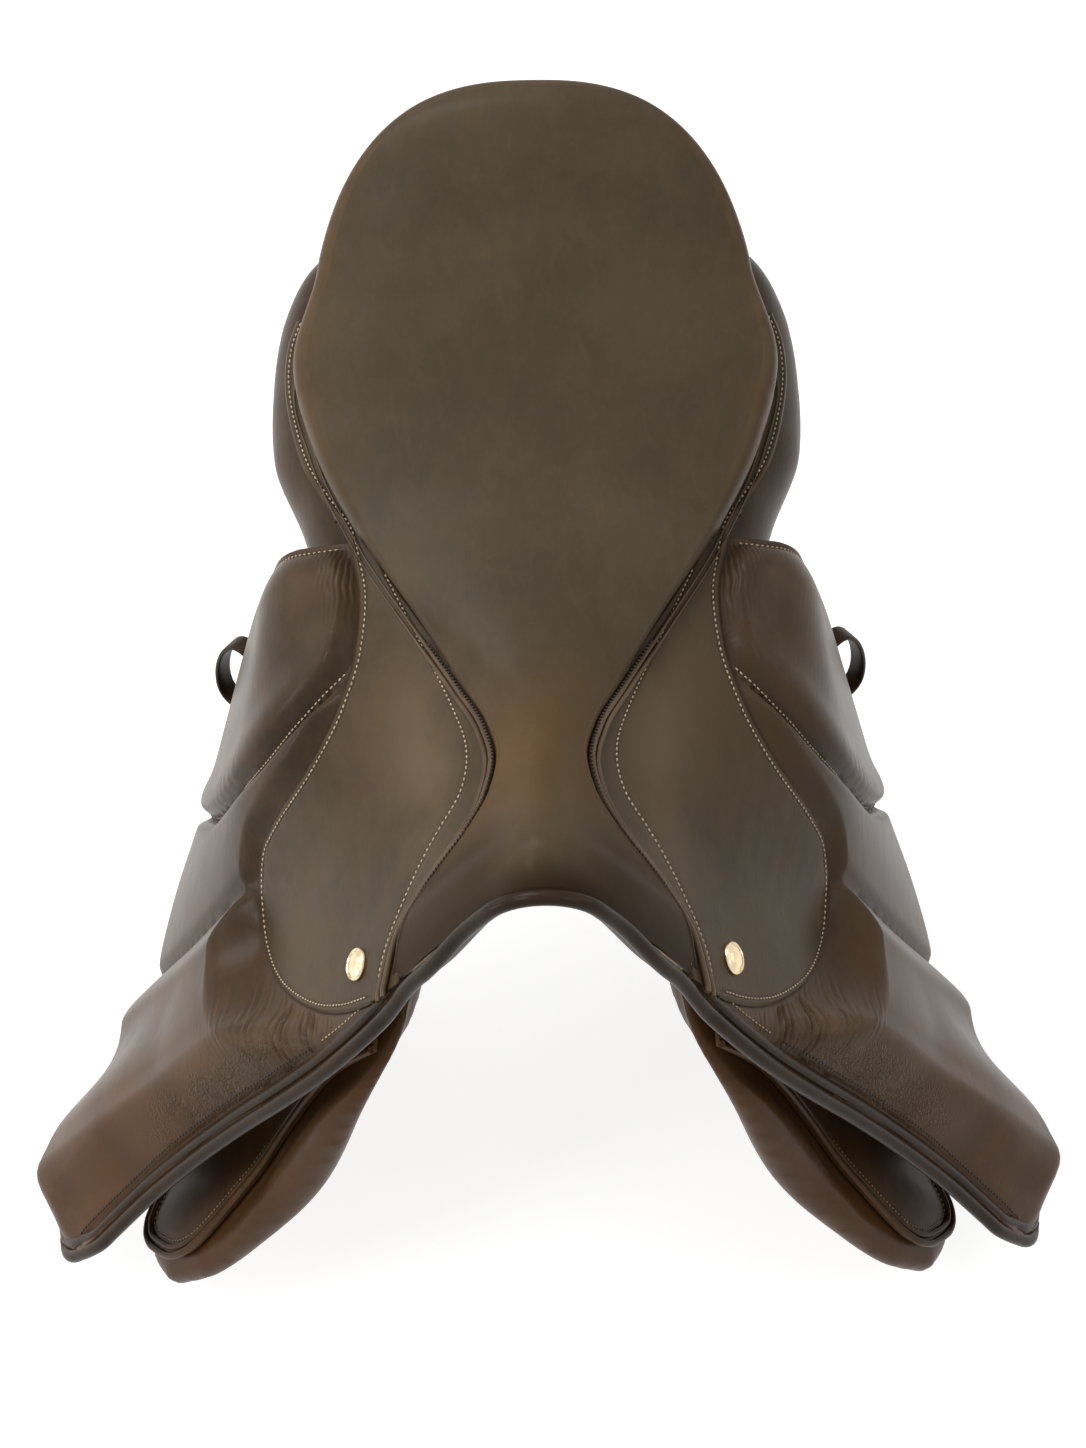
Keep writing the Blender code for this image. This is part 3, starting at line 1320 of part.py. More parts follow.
def make_blocks():
    """The knee block and the smaller thigh block between sweat flap and flap."""
    def block(name, outline, crown, step):
        line = spaced(rounded([SIDE.at_height(y, z) for y, z in outline], 2), step)

        def top(y, s):
            edge = min(distance_to((y, s), line, True) / 0.012, 1.0)
            room = front_depth(y, s) - UNDER_FLAP - 3 * LAYER_GAP
            fullness = 0.35 + 0.65 * math.sin(edge * math.pi / 2)
            return front_depth(y, s) - 1.5 * LAYER_GAP - room * fullness * crown

        left = slab(name + "_left", line, top, lambda y, s: front_depth(y, s) - 1.5 * LAYER_GAP,
                    "panel_leather", step)
        other_side(left, name + "_right")

    block("knee_block", [(-0.1660, -0.0600), (-0.1780, -0.1100), (-0.1900, -0.1600), (-0.2050, -0.2120),
                         (-0.2350, -0.2280), (-0.2580, -0.2050), (-0.2610, -0.1500), (-0.2500, -0.0900),
                         (-0.2200, -0.0500)], 0.94, 0.016)
    block("thigh_block", [(-0.0030, -0.0700), (-0.0040, -0.1000), (-0.0030, -0.1320), (0.0060, -0.1400),
                          (0.0110, -0.1000), (0.0090, -0.0680)], 0.85, 0.010)


def make_panels():
    """The stuffed panels that lie on the horse, each with a leg that runs down in front."""
    rings = []
    for y, inner, top_in, outer, low_in, wide, low_out in PANEL_STATIONS:
        deck = []
        for share in (0.0, 0.36, 0.72, 1.0):
            width = inner + 0.004 + (outer - 0.012 - inner) * share
            y_s = SIDE.at_width(y, min(width + 0.006, 0.125))
            roof = SIDE.point(*y_s, -PANEL_DEPTH)
            deck.append((roof.x, y, min(roof.z, top_in)))
        side_low = (wide - 0.014, y, low_out - 0.004)
        ring = [
            (inner - 0.001, y, (top_in + low_in) / 2), deck[0], deck[1], deck[2], deck[3],
            (wide, y, (deck[3][2] + low_out) / 2), side_low,
            ((inner + wide) / 2, y, (low_in * 0.55 + low_out * 0.45) - 0.006),
            (inner + 0.010, y, low_in - 0.004),
        ]
        rings.append([Vector(p) for p in ring])
    body = loft("panel_left", rings, "panel_leather")
    subdivide(body, 1)
    applied(body)
    leg_outline = [
        (-0.2400, 0.0020), (-0.2500, -0.0350), (-0.2610, -0.0900), (-0.2720, -0.1500), (-0.2790, -0.2100),
        (-0.2740, -0.2520), (-0.2480, -0.2690), (-0.2180, -0.2600), (-0.1980, -0.2250), (-0.1850, -0.1500),
        (-0.1680, -0.0900), (-0.1250, -0.0450), (-0.1200, 0.0050), (-0.1500, 0.0300), (-0.2100, 0.0150),
        (-0.2300, 0.0060),
    ]
    outline = rounded([SIDE.at_height(y, z) for y, z in leg_outline], 2)

    def leg_top(y, s):
        return front_depth(y, s) + SWEAT_LEATHER + 1.4 * LAYER_GAP

    def leg_under(y, s):
        edge = min(distance_to((y, s), outline, True) / 0.030, 1.0)
        fullness = 0.010 + 0.020 * ease((s - 0.12) / 0.06) - 0.004 * ease((s - 0.36) / 0.1)
        return leg_top(y, s) + 0.008 + fullness * math.sin(edge * math.pi / 2)

    leg = slab("leg", outline, leg_top, leg_under, "panel_leather", 0.030)
    boolean(body, leg, "UNION")
    line = sweat_outline()
    middle = [sum(p[k] for p in line) / len(line) for k in (0, 1)]
    line = [tuple(m + (p - m) * 1.06 for p, m in zip(place, middle)) for place in line]
    room = slab("sweat_room", line, lambda y, s: 0.0, lambda y, s: leg_top(y, s) + 0.7 * LAYER_GAP,
                "panel_leather", 0.045)
    boolean(body, cutter_from("sweat_room", room.data))
    bpy.data.objects.remove(room, do_unlink=True)
    place = rest_frame(1) @ Matrix.Translation((0, 0, REST_CUT_DEPTH / 2))
    rest = cutter_from("rest_plane", block_mesh((REST_CUT_SIZE, REST_CUT_SIZE, REST_CUT_DEPTH), place))
    boolean(body, rest)
    other_side(body, "panel_right")


def rest_frame(side):
    """The flat on the panel's bearing face: Z points down and out of the panel."""
    slope = math.radians(REST_SLOPE)
    out = Vector((-math.sin(slope), 0.0, -math.cos(slope)))
    return frame_at(Vector(REST_PLACE), Vector((0, 1, 0)), out)


def make_gullet_lining():
    """The leather that bridges the channel between the panels."""
    half = 0.040
    outline = spaced([(-0.168, -half), (0.176, -half), (0.176, half), (-0.168, half)], 0.024)
    sheet("gullet_lining", outline, LINING_DEPTH, LINING_LEATHER, "panel_leather", 0.024)


def make_point_pockets():
    """The leather pockets that hold the tree's points."""
    outline = [SIDE.at_height(-0.226, -0.006), SIDE.at_height(-0.200, -0.006), SIDE.at_height(-0.199, -0.030),
               SIDE.at_height(-0.212, -0.038), SIDE.at_height(-0.226, -0.032)]
    left = slab("point_pocket_left", spaced(outline, 0.012), lambda y, s: UNDER_TREE + LAYER_GAP,
                lambda y, s: UNDER_TREE + LAYER_GAP + POCKET_LEATHER, "strap_leather", 0.012)
    other_side(left, "point_pocket_right")


clear_scene()
PARTS = collection(SADDLE)
CUTTERS = collection("cutters")
make_tree()
make_head_plates()
make_springs()
make_seat_webs()
make_seat()
make_pommel_roll()
make_welts()
make_cantle_facing()
make_skirts()
make_nails()
make_flaps()
make_bindings()
make_keepers()
make_bars()
make_girthing()
make_sweat_flaps()
make_blocks()
make_panels()
make_gullet_lining()
make_point_pockets()
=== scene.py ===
import math

import bpy
import numpy as np
from mathutils import Matrix, Vector


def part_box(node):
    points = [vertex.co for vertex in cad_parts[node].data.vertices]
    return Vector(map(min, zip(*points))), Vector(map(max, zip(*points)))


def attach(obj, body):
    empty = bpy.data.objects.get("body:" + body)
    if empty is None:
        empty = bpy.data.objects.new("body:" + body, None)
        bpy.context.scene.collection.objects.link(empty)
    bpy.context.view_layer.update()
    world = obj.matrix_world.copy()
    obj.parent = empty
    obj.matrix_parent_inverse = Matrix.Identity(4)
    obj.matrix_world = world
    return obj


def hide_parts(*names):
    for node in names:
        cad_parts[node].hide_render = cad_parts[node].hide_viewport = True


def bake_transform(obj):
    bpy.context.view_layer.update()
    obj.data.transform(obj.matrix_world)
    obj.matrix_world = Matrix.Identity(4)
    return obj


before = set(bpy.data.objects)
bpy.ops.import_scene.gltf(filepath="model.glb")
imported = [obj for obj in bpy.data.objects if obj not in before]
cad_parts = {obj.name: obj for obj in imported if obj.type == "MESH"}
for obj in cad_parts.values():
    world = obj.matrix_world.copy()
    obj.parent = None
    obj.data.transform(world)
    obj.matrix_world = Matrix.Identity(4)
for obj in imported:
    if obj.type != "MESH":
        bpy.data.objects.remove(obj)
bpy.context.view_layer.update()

# The saddle's outer side: place along the back, half width and height where the crown ends,
# slope there and low down, and how far down the bend between the slopes starts and ends
SECTIONS = (
    (-0.3, 0.024, 0.125, 56.0, 56.0, 0.1, 0.2),
    (-0.24, 0.024, 0.13, 57.5, 56.5, 0.1, 0.2),
    (-0.2, 0.023, 0.121, 53.0, 60.5, 0.05, 0.23),
    (-0.137, 0.022, 0.1, 42.0, 70.0, 0.03, 0.26),
    (-0.06, 0.022, 0.093, 24.0, 75.0, 0.045, 0.2),
    (0.02, 0.022, 0.09, 12.0, 79.0, 0.08, 0.146),
    (0.12, 0.022, 0.092, 8.0, 80.0, 0.092, 0.145),
    (0.24, 0.022, 0.095, 5.0, 80.0, 0.09, 0.14),
)

# Depths of the layers under the side, and their thicknesses, in metres
SKIRT_THICK = 0.0032
FLAP_DEPTH = 0.0042
FLAP_THICK = 0.0035
SWEAT_DEPTH = FLAP_DEPTH + FLAP_THICK + 0.018
SWEAT_THICK = 0.003
KNEE_ROOM = 0.022
FACING_THICK = 0.0018

# The seat's outline and heights: place along the back, then half width or height
SEAT_EDGE = (
    (-0.2365, 0.078), (-0.215, 0.072), (-0.196, 0.057), (-0.176, 0.037), (-0.158, 0.0265), (-0.137, 0.0225),
    (-0.116, 0.027), (-0.088, 0.0405), (-0.05, 0.062), (0.005, 0.094), (0.055, 0.1175), (0.097, 0.1275),
    (0.139, 0.115),
)
SEAT_MIDDLE = (
    (-0.2365, 0.154), (-0.215, 0.155), (-0.18, 0.143), (-0.137, 0.122), (-0.08, 0.107), (0.0, 0.102),
    (0.06, 0.112), (0.11, 0.133), (0.15, 0.154), (0.185, 0.177), (0.207, 0.187), (0.222, 0.186),
)
SEAT_SIDE = (
    (-0.2365, 0.05), (-0.196, 0.083), (-0.137, 0.104), (-0.088, 0.093), (0.005, 0.093), (0.055, 0.101),
    (0.097, 0.112), (0.15, 0.136), (0.19, 0.162), (0.222, 0.18),
)
POMMEL_FRONT = -0.2345
CANTLE_TURN, CANTLE_BACK = 0.139, 0.222
SEEN_TUCK = 0.35

# Outlines on the left side: place along the back and height
SKIRT_LOW = (
    (0.142, 0.077), (0.126, 0.073), (0.104, 0.07), (0.078, 0.0695), (0.052, 0.07), (0.03, 0.0716),
    (0.014, 0.0724), (-0.004, 0.071), (-0.026, 0.0678), (-0.052, 0.0601), (-0.07, 0.0509), (-0.086, 0.0368),
    (-0.1, 0.0139), (-0.11, -0.02), (-0.117, -0.04), (-0.136, -0.0585), (-0.162, -0.064), (-0.192, -0.0478),
    (-0.218, -0.0201), (-0.231, 0.0037), (-0.2372, 0.0276),
)
SKIRT_FOLD = ((-0.236, 0.004), (-0.016, 0.0705))
FLAP_FRONT = (
    (-0.24, 0.048), (-0.2455, 0.025), (-0.2505, -0.013), (-0.2515, -0.05), (-0.2508, -0.09), (-0.252, -0.129),
    (-0.256, -0.17), (-0.263, -0.205), (-0.269, -0.233),
)
FLAP_BOTTOM = (
    (-0.269, -0.233), (-0.253, -0.257), (-0.218, -0.272), (-0.178, -0.276), (-0.125, -0.262), (-0.06, -0.245),
    (-0.015, -0.234), (0.014, -0.208),
)
FLAP_REAR = (
    (0.0085, 0.072), (0.01, 0.0658), (0.0135, 0.0553), (0.0185, 0.0295), (0.0235, -0.0027), (0.025, -0.0377),
    (0.025, -0.1), (0.023, -0.16), (0.014, -0.208),
)
FLAP_FOLD = ((-0.27, -0.092), (0.028, -0.034))
SWEAT_OUTLINE = (
    (-0.242, -0.006), (-0.2, -0.002), (-0.14, 0.01), (-0.07, 0.025), (-0.02, 0.03), (0.008, 0.015),
    (0.012, -0.04), (0.011, -0.1), (0.006, -0.165), (-0.012, -0.208), (-0.06, -0.224), (-0.12, -0.232),
    (-0.185, -0.24), (-0.238, -0.244), (-0.263, -0.226), (-0.272, -0.197), (-0.256, -0.148), (-0.24, -0.108),
    (-0.2365, -0.06), (-0.242, -0.006),
)
LEG_OUTLINE = (
    (-0.205, 0.018), (-0.234, 0.004), (-0.254, -0.026), (-0.265, -0.068), (-0.2735, -0.12), (-0.2795, -0.16),
    (-0.283, -0.2), (-0.276, -0.234), (-0.254, -0.252), (-0.226, -0.251), (-0.202, -0.22), (-0.188, -0.15),
    (-0.17, -0.09), (-0.14, -0.045), (-0.128, 0.0), (-0.15, 0.024), (-0.205, 0.018),
)
# The flap's top edge round the bar, by half width
BAR_CUT = (
    (-0.222, 0.078), (-0.209, 0.094), (-0.21, 0.106), (-0.202, 0.12), (-0.16, 0.122), (-0.115, 0.114),
    (-0.098, 0.102), (-0.082, 0.068), (-0.056, 0.062), (-0.024, 0.08),
)
# Seams, by length down the side: the skirt's inner one, and the flap's behind and over the knee
INNER_SEAM = (
    (-0.014, 0.0825), (-0.06, 0.064), (-0.098, 0.05), (-0.124, 0.044), (-0.146, 0.05), (-0.164, 0.068),
    (-0.19, 0.098), (-0.21, 0.122), (-0.224, 0.135), (-0.2325, 0.1385), (-0.2368, 0.14),
)
REAR_SEAM = (
    (-0.055, 0.1), (-0.066, 0.118), (-0.077, 0.15), (-0.083, 0.196), (-0.072, 0.272), (-0.045, 0.335),
    (-0.012, 0.402), (0.004, 0.44),
)
KNEE_SEAM = (
    (-0.131, 0.19), (-0.1295, 0.212), (-0.1265, 0.264), (-0.119, 0.326), (-0.106, 0.398), (-0.094, 0.46),
)


# Shape helpers

def ease(t):
    t = np.clip(t, 0.0, 1.0)
    return t * t * (3.0 - 2.0 * t)


def bump(t):
    """1 at t = 0, falling away on both sides."""
    return np.exp(-np.square(t))


def through(points):
    """A smooth curve through the values that never overshoots them."""
    places, values = np.array(points, float).T
    steps = np.diff(places)
    slopes = np.diff(values) / steps
    inner = [0.0 if a * b <= 0 else 2.0 * a * b / (a + b) for a, b in zip(slopes[:-1], slopes[1:])]
    turns = np.array([slopes[0], *inner, slopes[-1]])

    def curve(at):
        at = np.clip(np.asarray(at, float), places[0], places[-1])
        k = np.clip(np.searchsorted(places, at) - 1, 0, len(steps) - 1)
        t = (at - places[k]) / steps[k]
        low = (2 * t**3 - 3 * t * t + 1) * values[k] + (t**3 - 2 * t * t + t) * steps[k] * turns[k]
        return low + (3 * t * t - 2 * t**3) * values[k + 1] + (t**3 - t * t) * steps[k] * turns[k + 1]

    return curve


def smooth_line(points, steps=10):
    """A smooth line through the points."""
    p = np.array(points, float)
    p = np.vstack([p[:1], p, p[-1:]])
    t = np.linspace(0, 1, steps, endpoint=False)[:, None]
    line = []
    for a, b, c, d in zip(p[:-3], p[1:-2], p[2:-1], p[3:]):
        bend = (2 * a - 5 * b + 4 * c - d) * t * t + (3 * b - a - 3 * c + d) * t**3
        line.append(0.5 * (2 * b + (c - a) * t + bend))
    return np.vstack([*line, p[-1:]])


def spread(line, shares):
    """Places at shares of the line's length."""
    line = np.asarray(line, float)
    length = np.concatenate([[0.0], np.cumsum(np.linalg.norm(np.diff(line, axis=0), axis=1))])
    return np.stack([np.interp(np.asarray(shares) * length[-1], length, column) for column in line.T], -1)


def spaced(line, step):
    """The line with its places about a step apart."""
    length = np.linalg.norm(np.diff(line, axis=0), axis=1).sum()
    return spread(line, np.linspace(0, 1, max(2, int(round(length / step)) + 1)))


def away_from(places, line):
    """How far each place lies from a line."""
    flat = places.reshape(-1, 2)
    run = np.diff(line, axis=0)
    least = np.full(len(flat), 1e9)
    for start, way, square in zip(line[:-1], run, np.maximum((run * run).sum(1), 1e-12)):
        t = np.clip(((flat - start) @ way) / square, 0, 1)
        gap = flat - start - t[:, None] * way
        least = np.minimum(least, (gap * gap).sum(1))
    return np.sqrt(least).reshape(places.shape[:-1])


def along(path):
    """The way that a path runs at each of its places."""
    way = np.gradient(np.asarray(path, float), axis=0)
    return way / np.maximum(np.linalg.norm(way, axis=1), 1e-9)[:, None]


def square_to(line):
    """Square to a line on the side: to the front where it runs down, and down where it runs forwards."""
    way = along(line)
    return np.stack([way[:, 1], -way[:, 0]], -1)


def beside(line, amount):
    return line + square_to(line) * amount


def runs(*parts):
    """Shares from 0 to 1 in runs of even steps, each given by where it starts and how many it has."""
    ends = [start for start, _ in parts[1:]] + [1.0]
    return np.concatenate([np.linspace(start, end, count, endpoint=end == 1.0)
                           for (start, count), end in zip(parts, ends)])


def strongest(*values):
    return np.maximum.reduce(np.broadcast_arrays(*values))


def edge_steps(count, fine=6, reach=0.05):
    """Shares from 0 to 1 that stand closer together near both ends."""
    ends = np.linspace(0, reach, fine, endpoint=False)
    return np.concatenate([ends, np.linspace(reach, 1 - reach, count), 1 - ends[::-1]])


def coons(top, bottom, left, right, across, down):
    """A grid between four lines: top and bottom run the same way, and so do left and right."""
    u, v = np.asarray(across)[None, :, None], np.asarray(down)[:, None, None]
    t, b = spread(top, across)[None], spread(bottom, across)[None]
    l, r = spread(left, down)[:, None], spread(right, down)[:, None]
    corners = (t[:, :1] * (1 - u) + t[:, -1:] * u) * (1 - v) + (b[:, :1] * (1 - u) + b[:, -1:] * u) * v
    return t * (1 - v) + b * v + l * (1 - u) + r * u - corners


class Side:
    """The saddle's outer side, by place along the back and length down from the middle."""

    STEP, DROP = 0.002, 0.004

    def __init__(self):
        self.places = np.arange(-0.320, 0.2621, self.STEP)
        self.lengths = np.arange(0.0, 0.55, self.DROP)
        table = np.array(SECTIONS)
        half, height, steep, low, start, end = (
            through(table[:, (0, k)])(self.places)[:, None] for k in range(1, 7)
        )
        radius = half / np.sin(np.radians(steep))
        crown = radius * np.radians(steep)
        slope = steep + (low - steep) * ease((self.lengths - crown - start) / (end - start))
        self.angle = np.radians(np.where(self.lengths < crown, steep * self.lengths / crown, slope))
        across, down = np.cos(self.angle), np.sin(self.angle)
        top = height + radius * (1.0 - np.cos(np.radians(steep)))
        self.x = np.zeros_like(across)
        self.x[:, 1:] = np.cumsum((across[:, 1:] + across[:, :-1]) * self.DROP / 2, axis=1)
        self.z = np.repeat(top, len(self.lengths), axis=1)
        self.z[:, 1:] -= np.cumsum((down[:, 1:] + down[:, :-1]) * self.DROP / 2, axis=1)

    def read(self, table, y, s):
        i = np.clip((y - self.places[0]) / self.STEP, 0, len(self.places) - 1.001)
        j = np.clip(np.abs(s) / self.DROP, 0, len(self.lengths) - 1.001)
        a, b = i.astype(int), j.astype(int)
        u, v = i - a, j - b
        near = table[a, b] * (1 - u) + table[a + 1, b] * u
        return near * (1 - v) + (table[a, b + 1] * (1 - u) + table[a + 1, b + 1] * u) * v

    def at(self, y, s, out=0.0):
        """The place at s down the side, moved out from it; a negative s is on the rider's right."""
        y, s, out = np.broadcast_arrays(np.asarray(y, float), np.asarray(s, float), np.asarray(out, float))
        angle = self.read(self.angle, y, s)
        x = self.read(self.x, y, s) + out * np.sin(angle)
        return np.stack([np.where(s < 0, -x, x), y, self.read(self.z, y, s) + out * np.cos(angle)], -1)

    def out(self, y, s):
        """The way straight out of the side."""
        return self.at(y, s, 1.0) - self.at(y, s, 0.0)

    def row(self, table, y):
        i = min(max((y - self.places[0]) / self.STEP, 0), len(self.places) - 1.001)
        return table[int(i)] * (1 - i % 1) + table[int(i) + 1] * (i % 1)

    def by_height(self, points):
        """Places given by their height, as lengths down the side."""
        return [(y, float(np.interp(-z, -self.row(self.z, y), self.lengths))) for y, z in points]

    def by_width(self, points):
        """Places given by their half width, as lengths down the side."""
        return [(y, float(np.interp(w, self.row(self.x, y), self.lengths))) for y, w in points]


SIDE = Side()
seat_edge = through(SEAT_EDGE)
seat_middle = through(SEAT_MIDDLE)
seat_side = through(SEAT_SIDE)


def seat_half(y):
    """The seat's half width, rounded off at the cantle."""
    t = np.clip((y - CANTLE_TURN) / (CANTLE_BACK - CANTLE_TURN), 0.0, 1.0)
    round_off = SEAT_EDGE[-1][1] * (0.12 * (1.0 - t) + 0.88 * np.maximum(1.0 - t**2, 0.0) ** 0.33)
    return np.where(y <= CANTLE_TURN, seat_edge(y), round_off)


def seam_half(y):
    """Half width at the seam, tucked under the seat's roll towards the cantle."""
    return np.maximum(seat_half(y) - 0.011 * ease((y + 0.02) / 0.10), 0.004)


def seen_seam(y):
    """Half width where the seat's roll ends on the skirts, as far as it can be seen."""
    return float(seat_half(y) - SEEN_TUCK * (seat_half(y) - seam_half(y)))


def roll_depth(y):
    return 0.005 + 0.019 * ease((y + 0.06) / 0.14)


def on_side(y, half_of, out=0.0):
    """Places on the side at a half width that depends on the place along the back."""
    return SIDE.by_width([(v, float(half_of(v)) + out) for v in y])


level_places = np.linspace(-0.24, CANTLE_BACK, 120)
side_under_edge = SIDE.at(*np.array(on_side(level_places, seat_half)).T)[:, 2]
level_values = np.maximum(seat_side(level_places), side_under_edge + roll_depth(level_places) + 0.001)


def edge_level(y):
    """The height at which the seat's top turns over into its roll."""
    return np.interp(y, level_places, level_values)


def front_depth(y, s):
    """The sweat flap's depth, with more room for the knee block low at the front."""
    return SWEAT_DEPTH + KNEE_ROOM * ease((-0.150 - y) / 0.08) * ease((s - 0.20) / 0.15)


# Making and finishing pieces

FACES_OUT = (bpy.ops.mesh.normals_make_consistent, {"inside": False})


def merged(threshold):
    return (bpy.ops.mesh.remove_doubles, {"threshold": threshold})


def primitive(add, **settings):
    """A new primitive, with nothing else selected."""
    bpy.ops.object.select_all(action="DESELECT")
    add(**settings)
    return bpy.context.object


def alone(piece):
    bpy.ops.object.select_all(action="DESELECT")
    piece.select_set(True)
    bpy.context.view_layer.objects.active = piece


def edited(*steps):
    """Runs edit-mode operators, each given with its settings, on all of the active piece."""
    bpy.ops.object.mode_set(mode="EDIT")
    bpy.ops.mesh.select_all(action="SELECT")
    for operator, settings in steps:
        operator(**settings)
    bpy.ops.object.mode_set(mode="OBJECT")


def joined(piece, other):
    alone(piece)
    other.select_set(True)
    bpy.ops.object.join()


def in_scene(name, data):
    made = bpy.data.objects.new(name, data)
    bpy.context.scene.collection.objects.link(made)
    return made


def read(items, key):
    """A vector of every point or face, in rows."""
    flat = np.empty(len(items) * 3)
    items.foreach_get(key, flat)
    return flat.reshape(-1, 3)


def write_note(piece, key, values):
    """A value at every point, which the finish reads."""
    note = piece.data.attributes.new(key, "FLOAT", "POINT")
    note.data.foreach_set("value", values.astype(np.float32))


def skin(name, places, around=False, outwards=None, **notes):
    """A grid whose rows and columns are drawn onto the given places, with notes for its finish."""
    rows, columns = places.shape[:2]
    piece = primitive(bpy.ops.mesh.primitive_grid_add, x_subdivisions=columns - 1, y_subdivisions=rows - 1,
                      size=2.0)
    piece.name = piece.data.name = name
    share = (read(piece.data.vertices, "co") + 1) / 2
    column = np.rint(share[:, 0] * (columns - 1)).astype(int)
    row = np.rint(share[:, 1] * (rows - 1)).astype(int)
    piece.data.vertices.foreach_set("co", places[row, column].ravel())
    for key, values in notes.items():
        write_note(piece, key, np.broadcast_to(values, (rows, columns))[row, column])
    piece.data.update()
    edited(*([merged(0.00002)] if around else []), *([FACES_OUT] if outwards is None else []))
    if outwards is not None and read(piece.data.polygons, "normal").mean(0) @ np.array(outwards) < 0:
        piece.data.flip_normals()
    return piece


def finished(piece, *steps, smooth=50):
    """Applies the modifiers, each a type and its settings, and smooths the piece."""
    alone(piece)
    for kind, settings in steps:
        modifier = piece.modifiers.new(kind.lower(), kind)
        for key, value in settings.items():
            setattr(modifier, key, value)
        bpy.ops.object.modifier_apply(modifier=modifier.name)
    bpy.ops.object.shade_smooth_by_angle(angle=math.radians(smooth))
    return piece


def thickened(piece, thickness, rim=0.0008, offset=-1.0):
    """Gives a skin its thickness, and rounds its rim unless that is 0."""
    steps = [("SOLIDIFY", {"thickness": thickness, "offset": offset, "use_even_offset": False})]
    if rim:
        steps.append(("BEVEL", {"width": rim, "segments": 2, "limit_method": "ANGLE",
                                "angle_limit": math.radians(50), "use_clamp_overlap": True}))
    return finished(piece, *steps)


def swept(name, path, up, section, sizes=1.0):
    """A section of (sideways, up) places drawn along a path."""
    way = along(path)
    side = np.cross(way, up)
    side /= np.maximum(np.linalg.norm(side, axis=1), 1e-9)[:, None]
    lift = np.cross(side, way)
    sizes = np.broadcast_to(sizes, (len(path),))[:, None, None]
    loop = np.array([*section, section[0]], float)
    places = path[:, None] + sizes * (side[:, None] * loop[None, :, :1] + lift[:, None] * loop[None, :, 1:])
    ends = [np.broadcast_to(path[k], places[k].shape)[None] for k in (0, -1)]
    return finished(skin(name, np.concatenate([ends[0], places, ends[1]]), around=True), smooth=60)


def ring(radius, count, flat=1.0):
    turn = np.arange(count) / count * 2 * math.pi
    return np.stack([flat * (radius * np.cos(turn)), radius * np.sin(turn)], -1)


def strap_section(width, thickness):
    """A strap's section with rounded corners."""
    r = thickness * 0.4
    points = []
    for cx, cy, start in ((1, 1, 0), (-1, 1, 90), (-1, -1, 180), (1, -1, 270)):
        for turn in np.radians(start + 30 * np.arange(4)):
            corner = (cx * (width / 2 - r), cy * (thickness / 2 - r))
            points.append((corner[0] + r * np.cos(turn), corner[1] + r * np.sin(turn)))
    return points


def stitched(name, path, up, pitch=0.0031, length=0.0022, width=0.0011, lean=8):
    """A row of stitches: one is modelled and copied along the path."""
    count = max(2, int(np.linalg.norm(np.diff(path, axis=0), axis=1).sum() / pitch))
    shares = (np.arange(count) + 0.5) / count
    way = along(spread(path, np.linspace(0, 1, 4 * count)))[::4][:count]
    lift = spread(up, np.interp(shares, np.linspace(0, 1, len(path)), np.linspace(0, 1, len(path))))
    side = np.cross(way, lift)
    side /= np.linalg.norm(side, axis=1)[:, None]
    lift = np.cross(side, way)
    one = primitive(bpy.ops.mesh.primitive_uv_sphere_add, segments=6, ring_count=4, radius=1.0)
    edited((bpy.ops.transform.resize, {"value": (length / 2, width / 2, width / 2.2)}))
    shape = read(one.data.vertices, "co")
    faces = [list(p.vertices) for p in one.data.polygons]
    bpy.data.objects.remove(one, do_unlink=True)
    turns = math.radians(lean) + np.random.default_rng(7).normal(0, 0.05, count)
    c, s = np.cos(turns)[:, None], np.sin(turns)[:, None]
    first, second = way * c + side * s, side * c - way * s
    places = spread(path, shares)[:, None] + first[:, None] * shape[None, :, :1]
    places = places + second[:, None] * shape[None, :, 1:2]
    places = places + lift[:, None] * (shape[None, :, 2:] + width * 0.12)
    mesh = bpy.data.meshes.new(name)
    every = [[i + k * len(shape) for i in face] for k in range(count) for face in faces]
    mesh.from_pydata(places.reshape(-1, 3).tolist(), [], every)
    return finished(in_scene(name, mesh), smooth=180)


def mirror(point, right):
    return (-point[0], point[1], point[2]) if right else tuple(point)


def other_side(piece):
    """The rider's right: a copy with its own mesh, mirrored."""
    name = piece.name.replace("_left", "_right")
    mesh = piece.data.copy()
    mesh.name = name
    mesh.transform(Matrix.Scale(-1, 4, (1, 0, 0)))
    mesh.flip_normals()
    return in_scene(name, mesh)


def place(piece, finish, body="saddle", replaces=(), blend=None):
    """Puts a piece in the saddle: gives it its finish, hangs it on its body or, where it is given a bend,
    bakes its place into its mesh, and hides the nodes that it stands for.
    """
    piece.data.materials.clear()
    piece.data.materials.append(finish)
    if blend:
        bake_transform(piece)
    else:
        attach(piece, body)
    if replaces:
        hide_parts(*replaces)


def both(piece, finish, slot, body="saddle", replaces=(), blend=None, padded=None, sheet=None, left_only=()):
    """Puts a left piece and its twin in the saddle; {} in a name stands for left or right."""
    for made in (piece, other_side(piece)):
        right = made is not piece
        hand = "right" if right else "left"
        names = [*(() if right else left_only), *(n.format(hand) for n in replaces)]
        bent = blend and [b.format(hand) for b in blend[:2]] + [mirror(p, right) for p in blend[2:]]
        place(made, finish, body.format(hand), names, bent)


def held(flat, area=None):
    """A leather pulled over its place, cut from a flat piece of this size."""
    return {"flat": flat, "held": "stretched", **({"area": area} if area else {})}


def stitch_line(name, line, out, finish, slot, blend=None, **kind):
    """Stitches along a line on the side, as far out from it as the leather under them."""
    line = spaced(line, 0.002)
    both(stitched(name, SIDE.at(*line.T, out(line)), SIDE.out(*line.T), **kind), finish, slot, blend=blend)


# Finishes

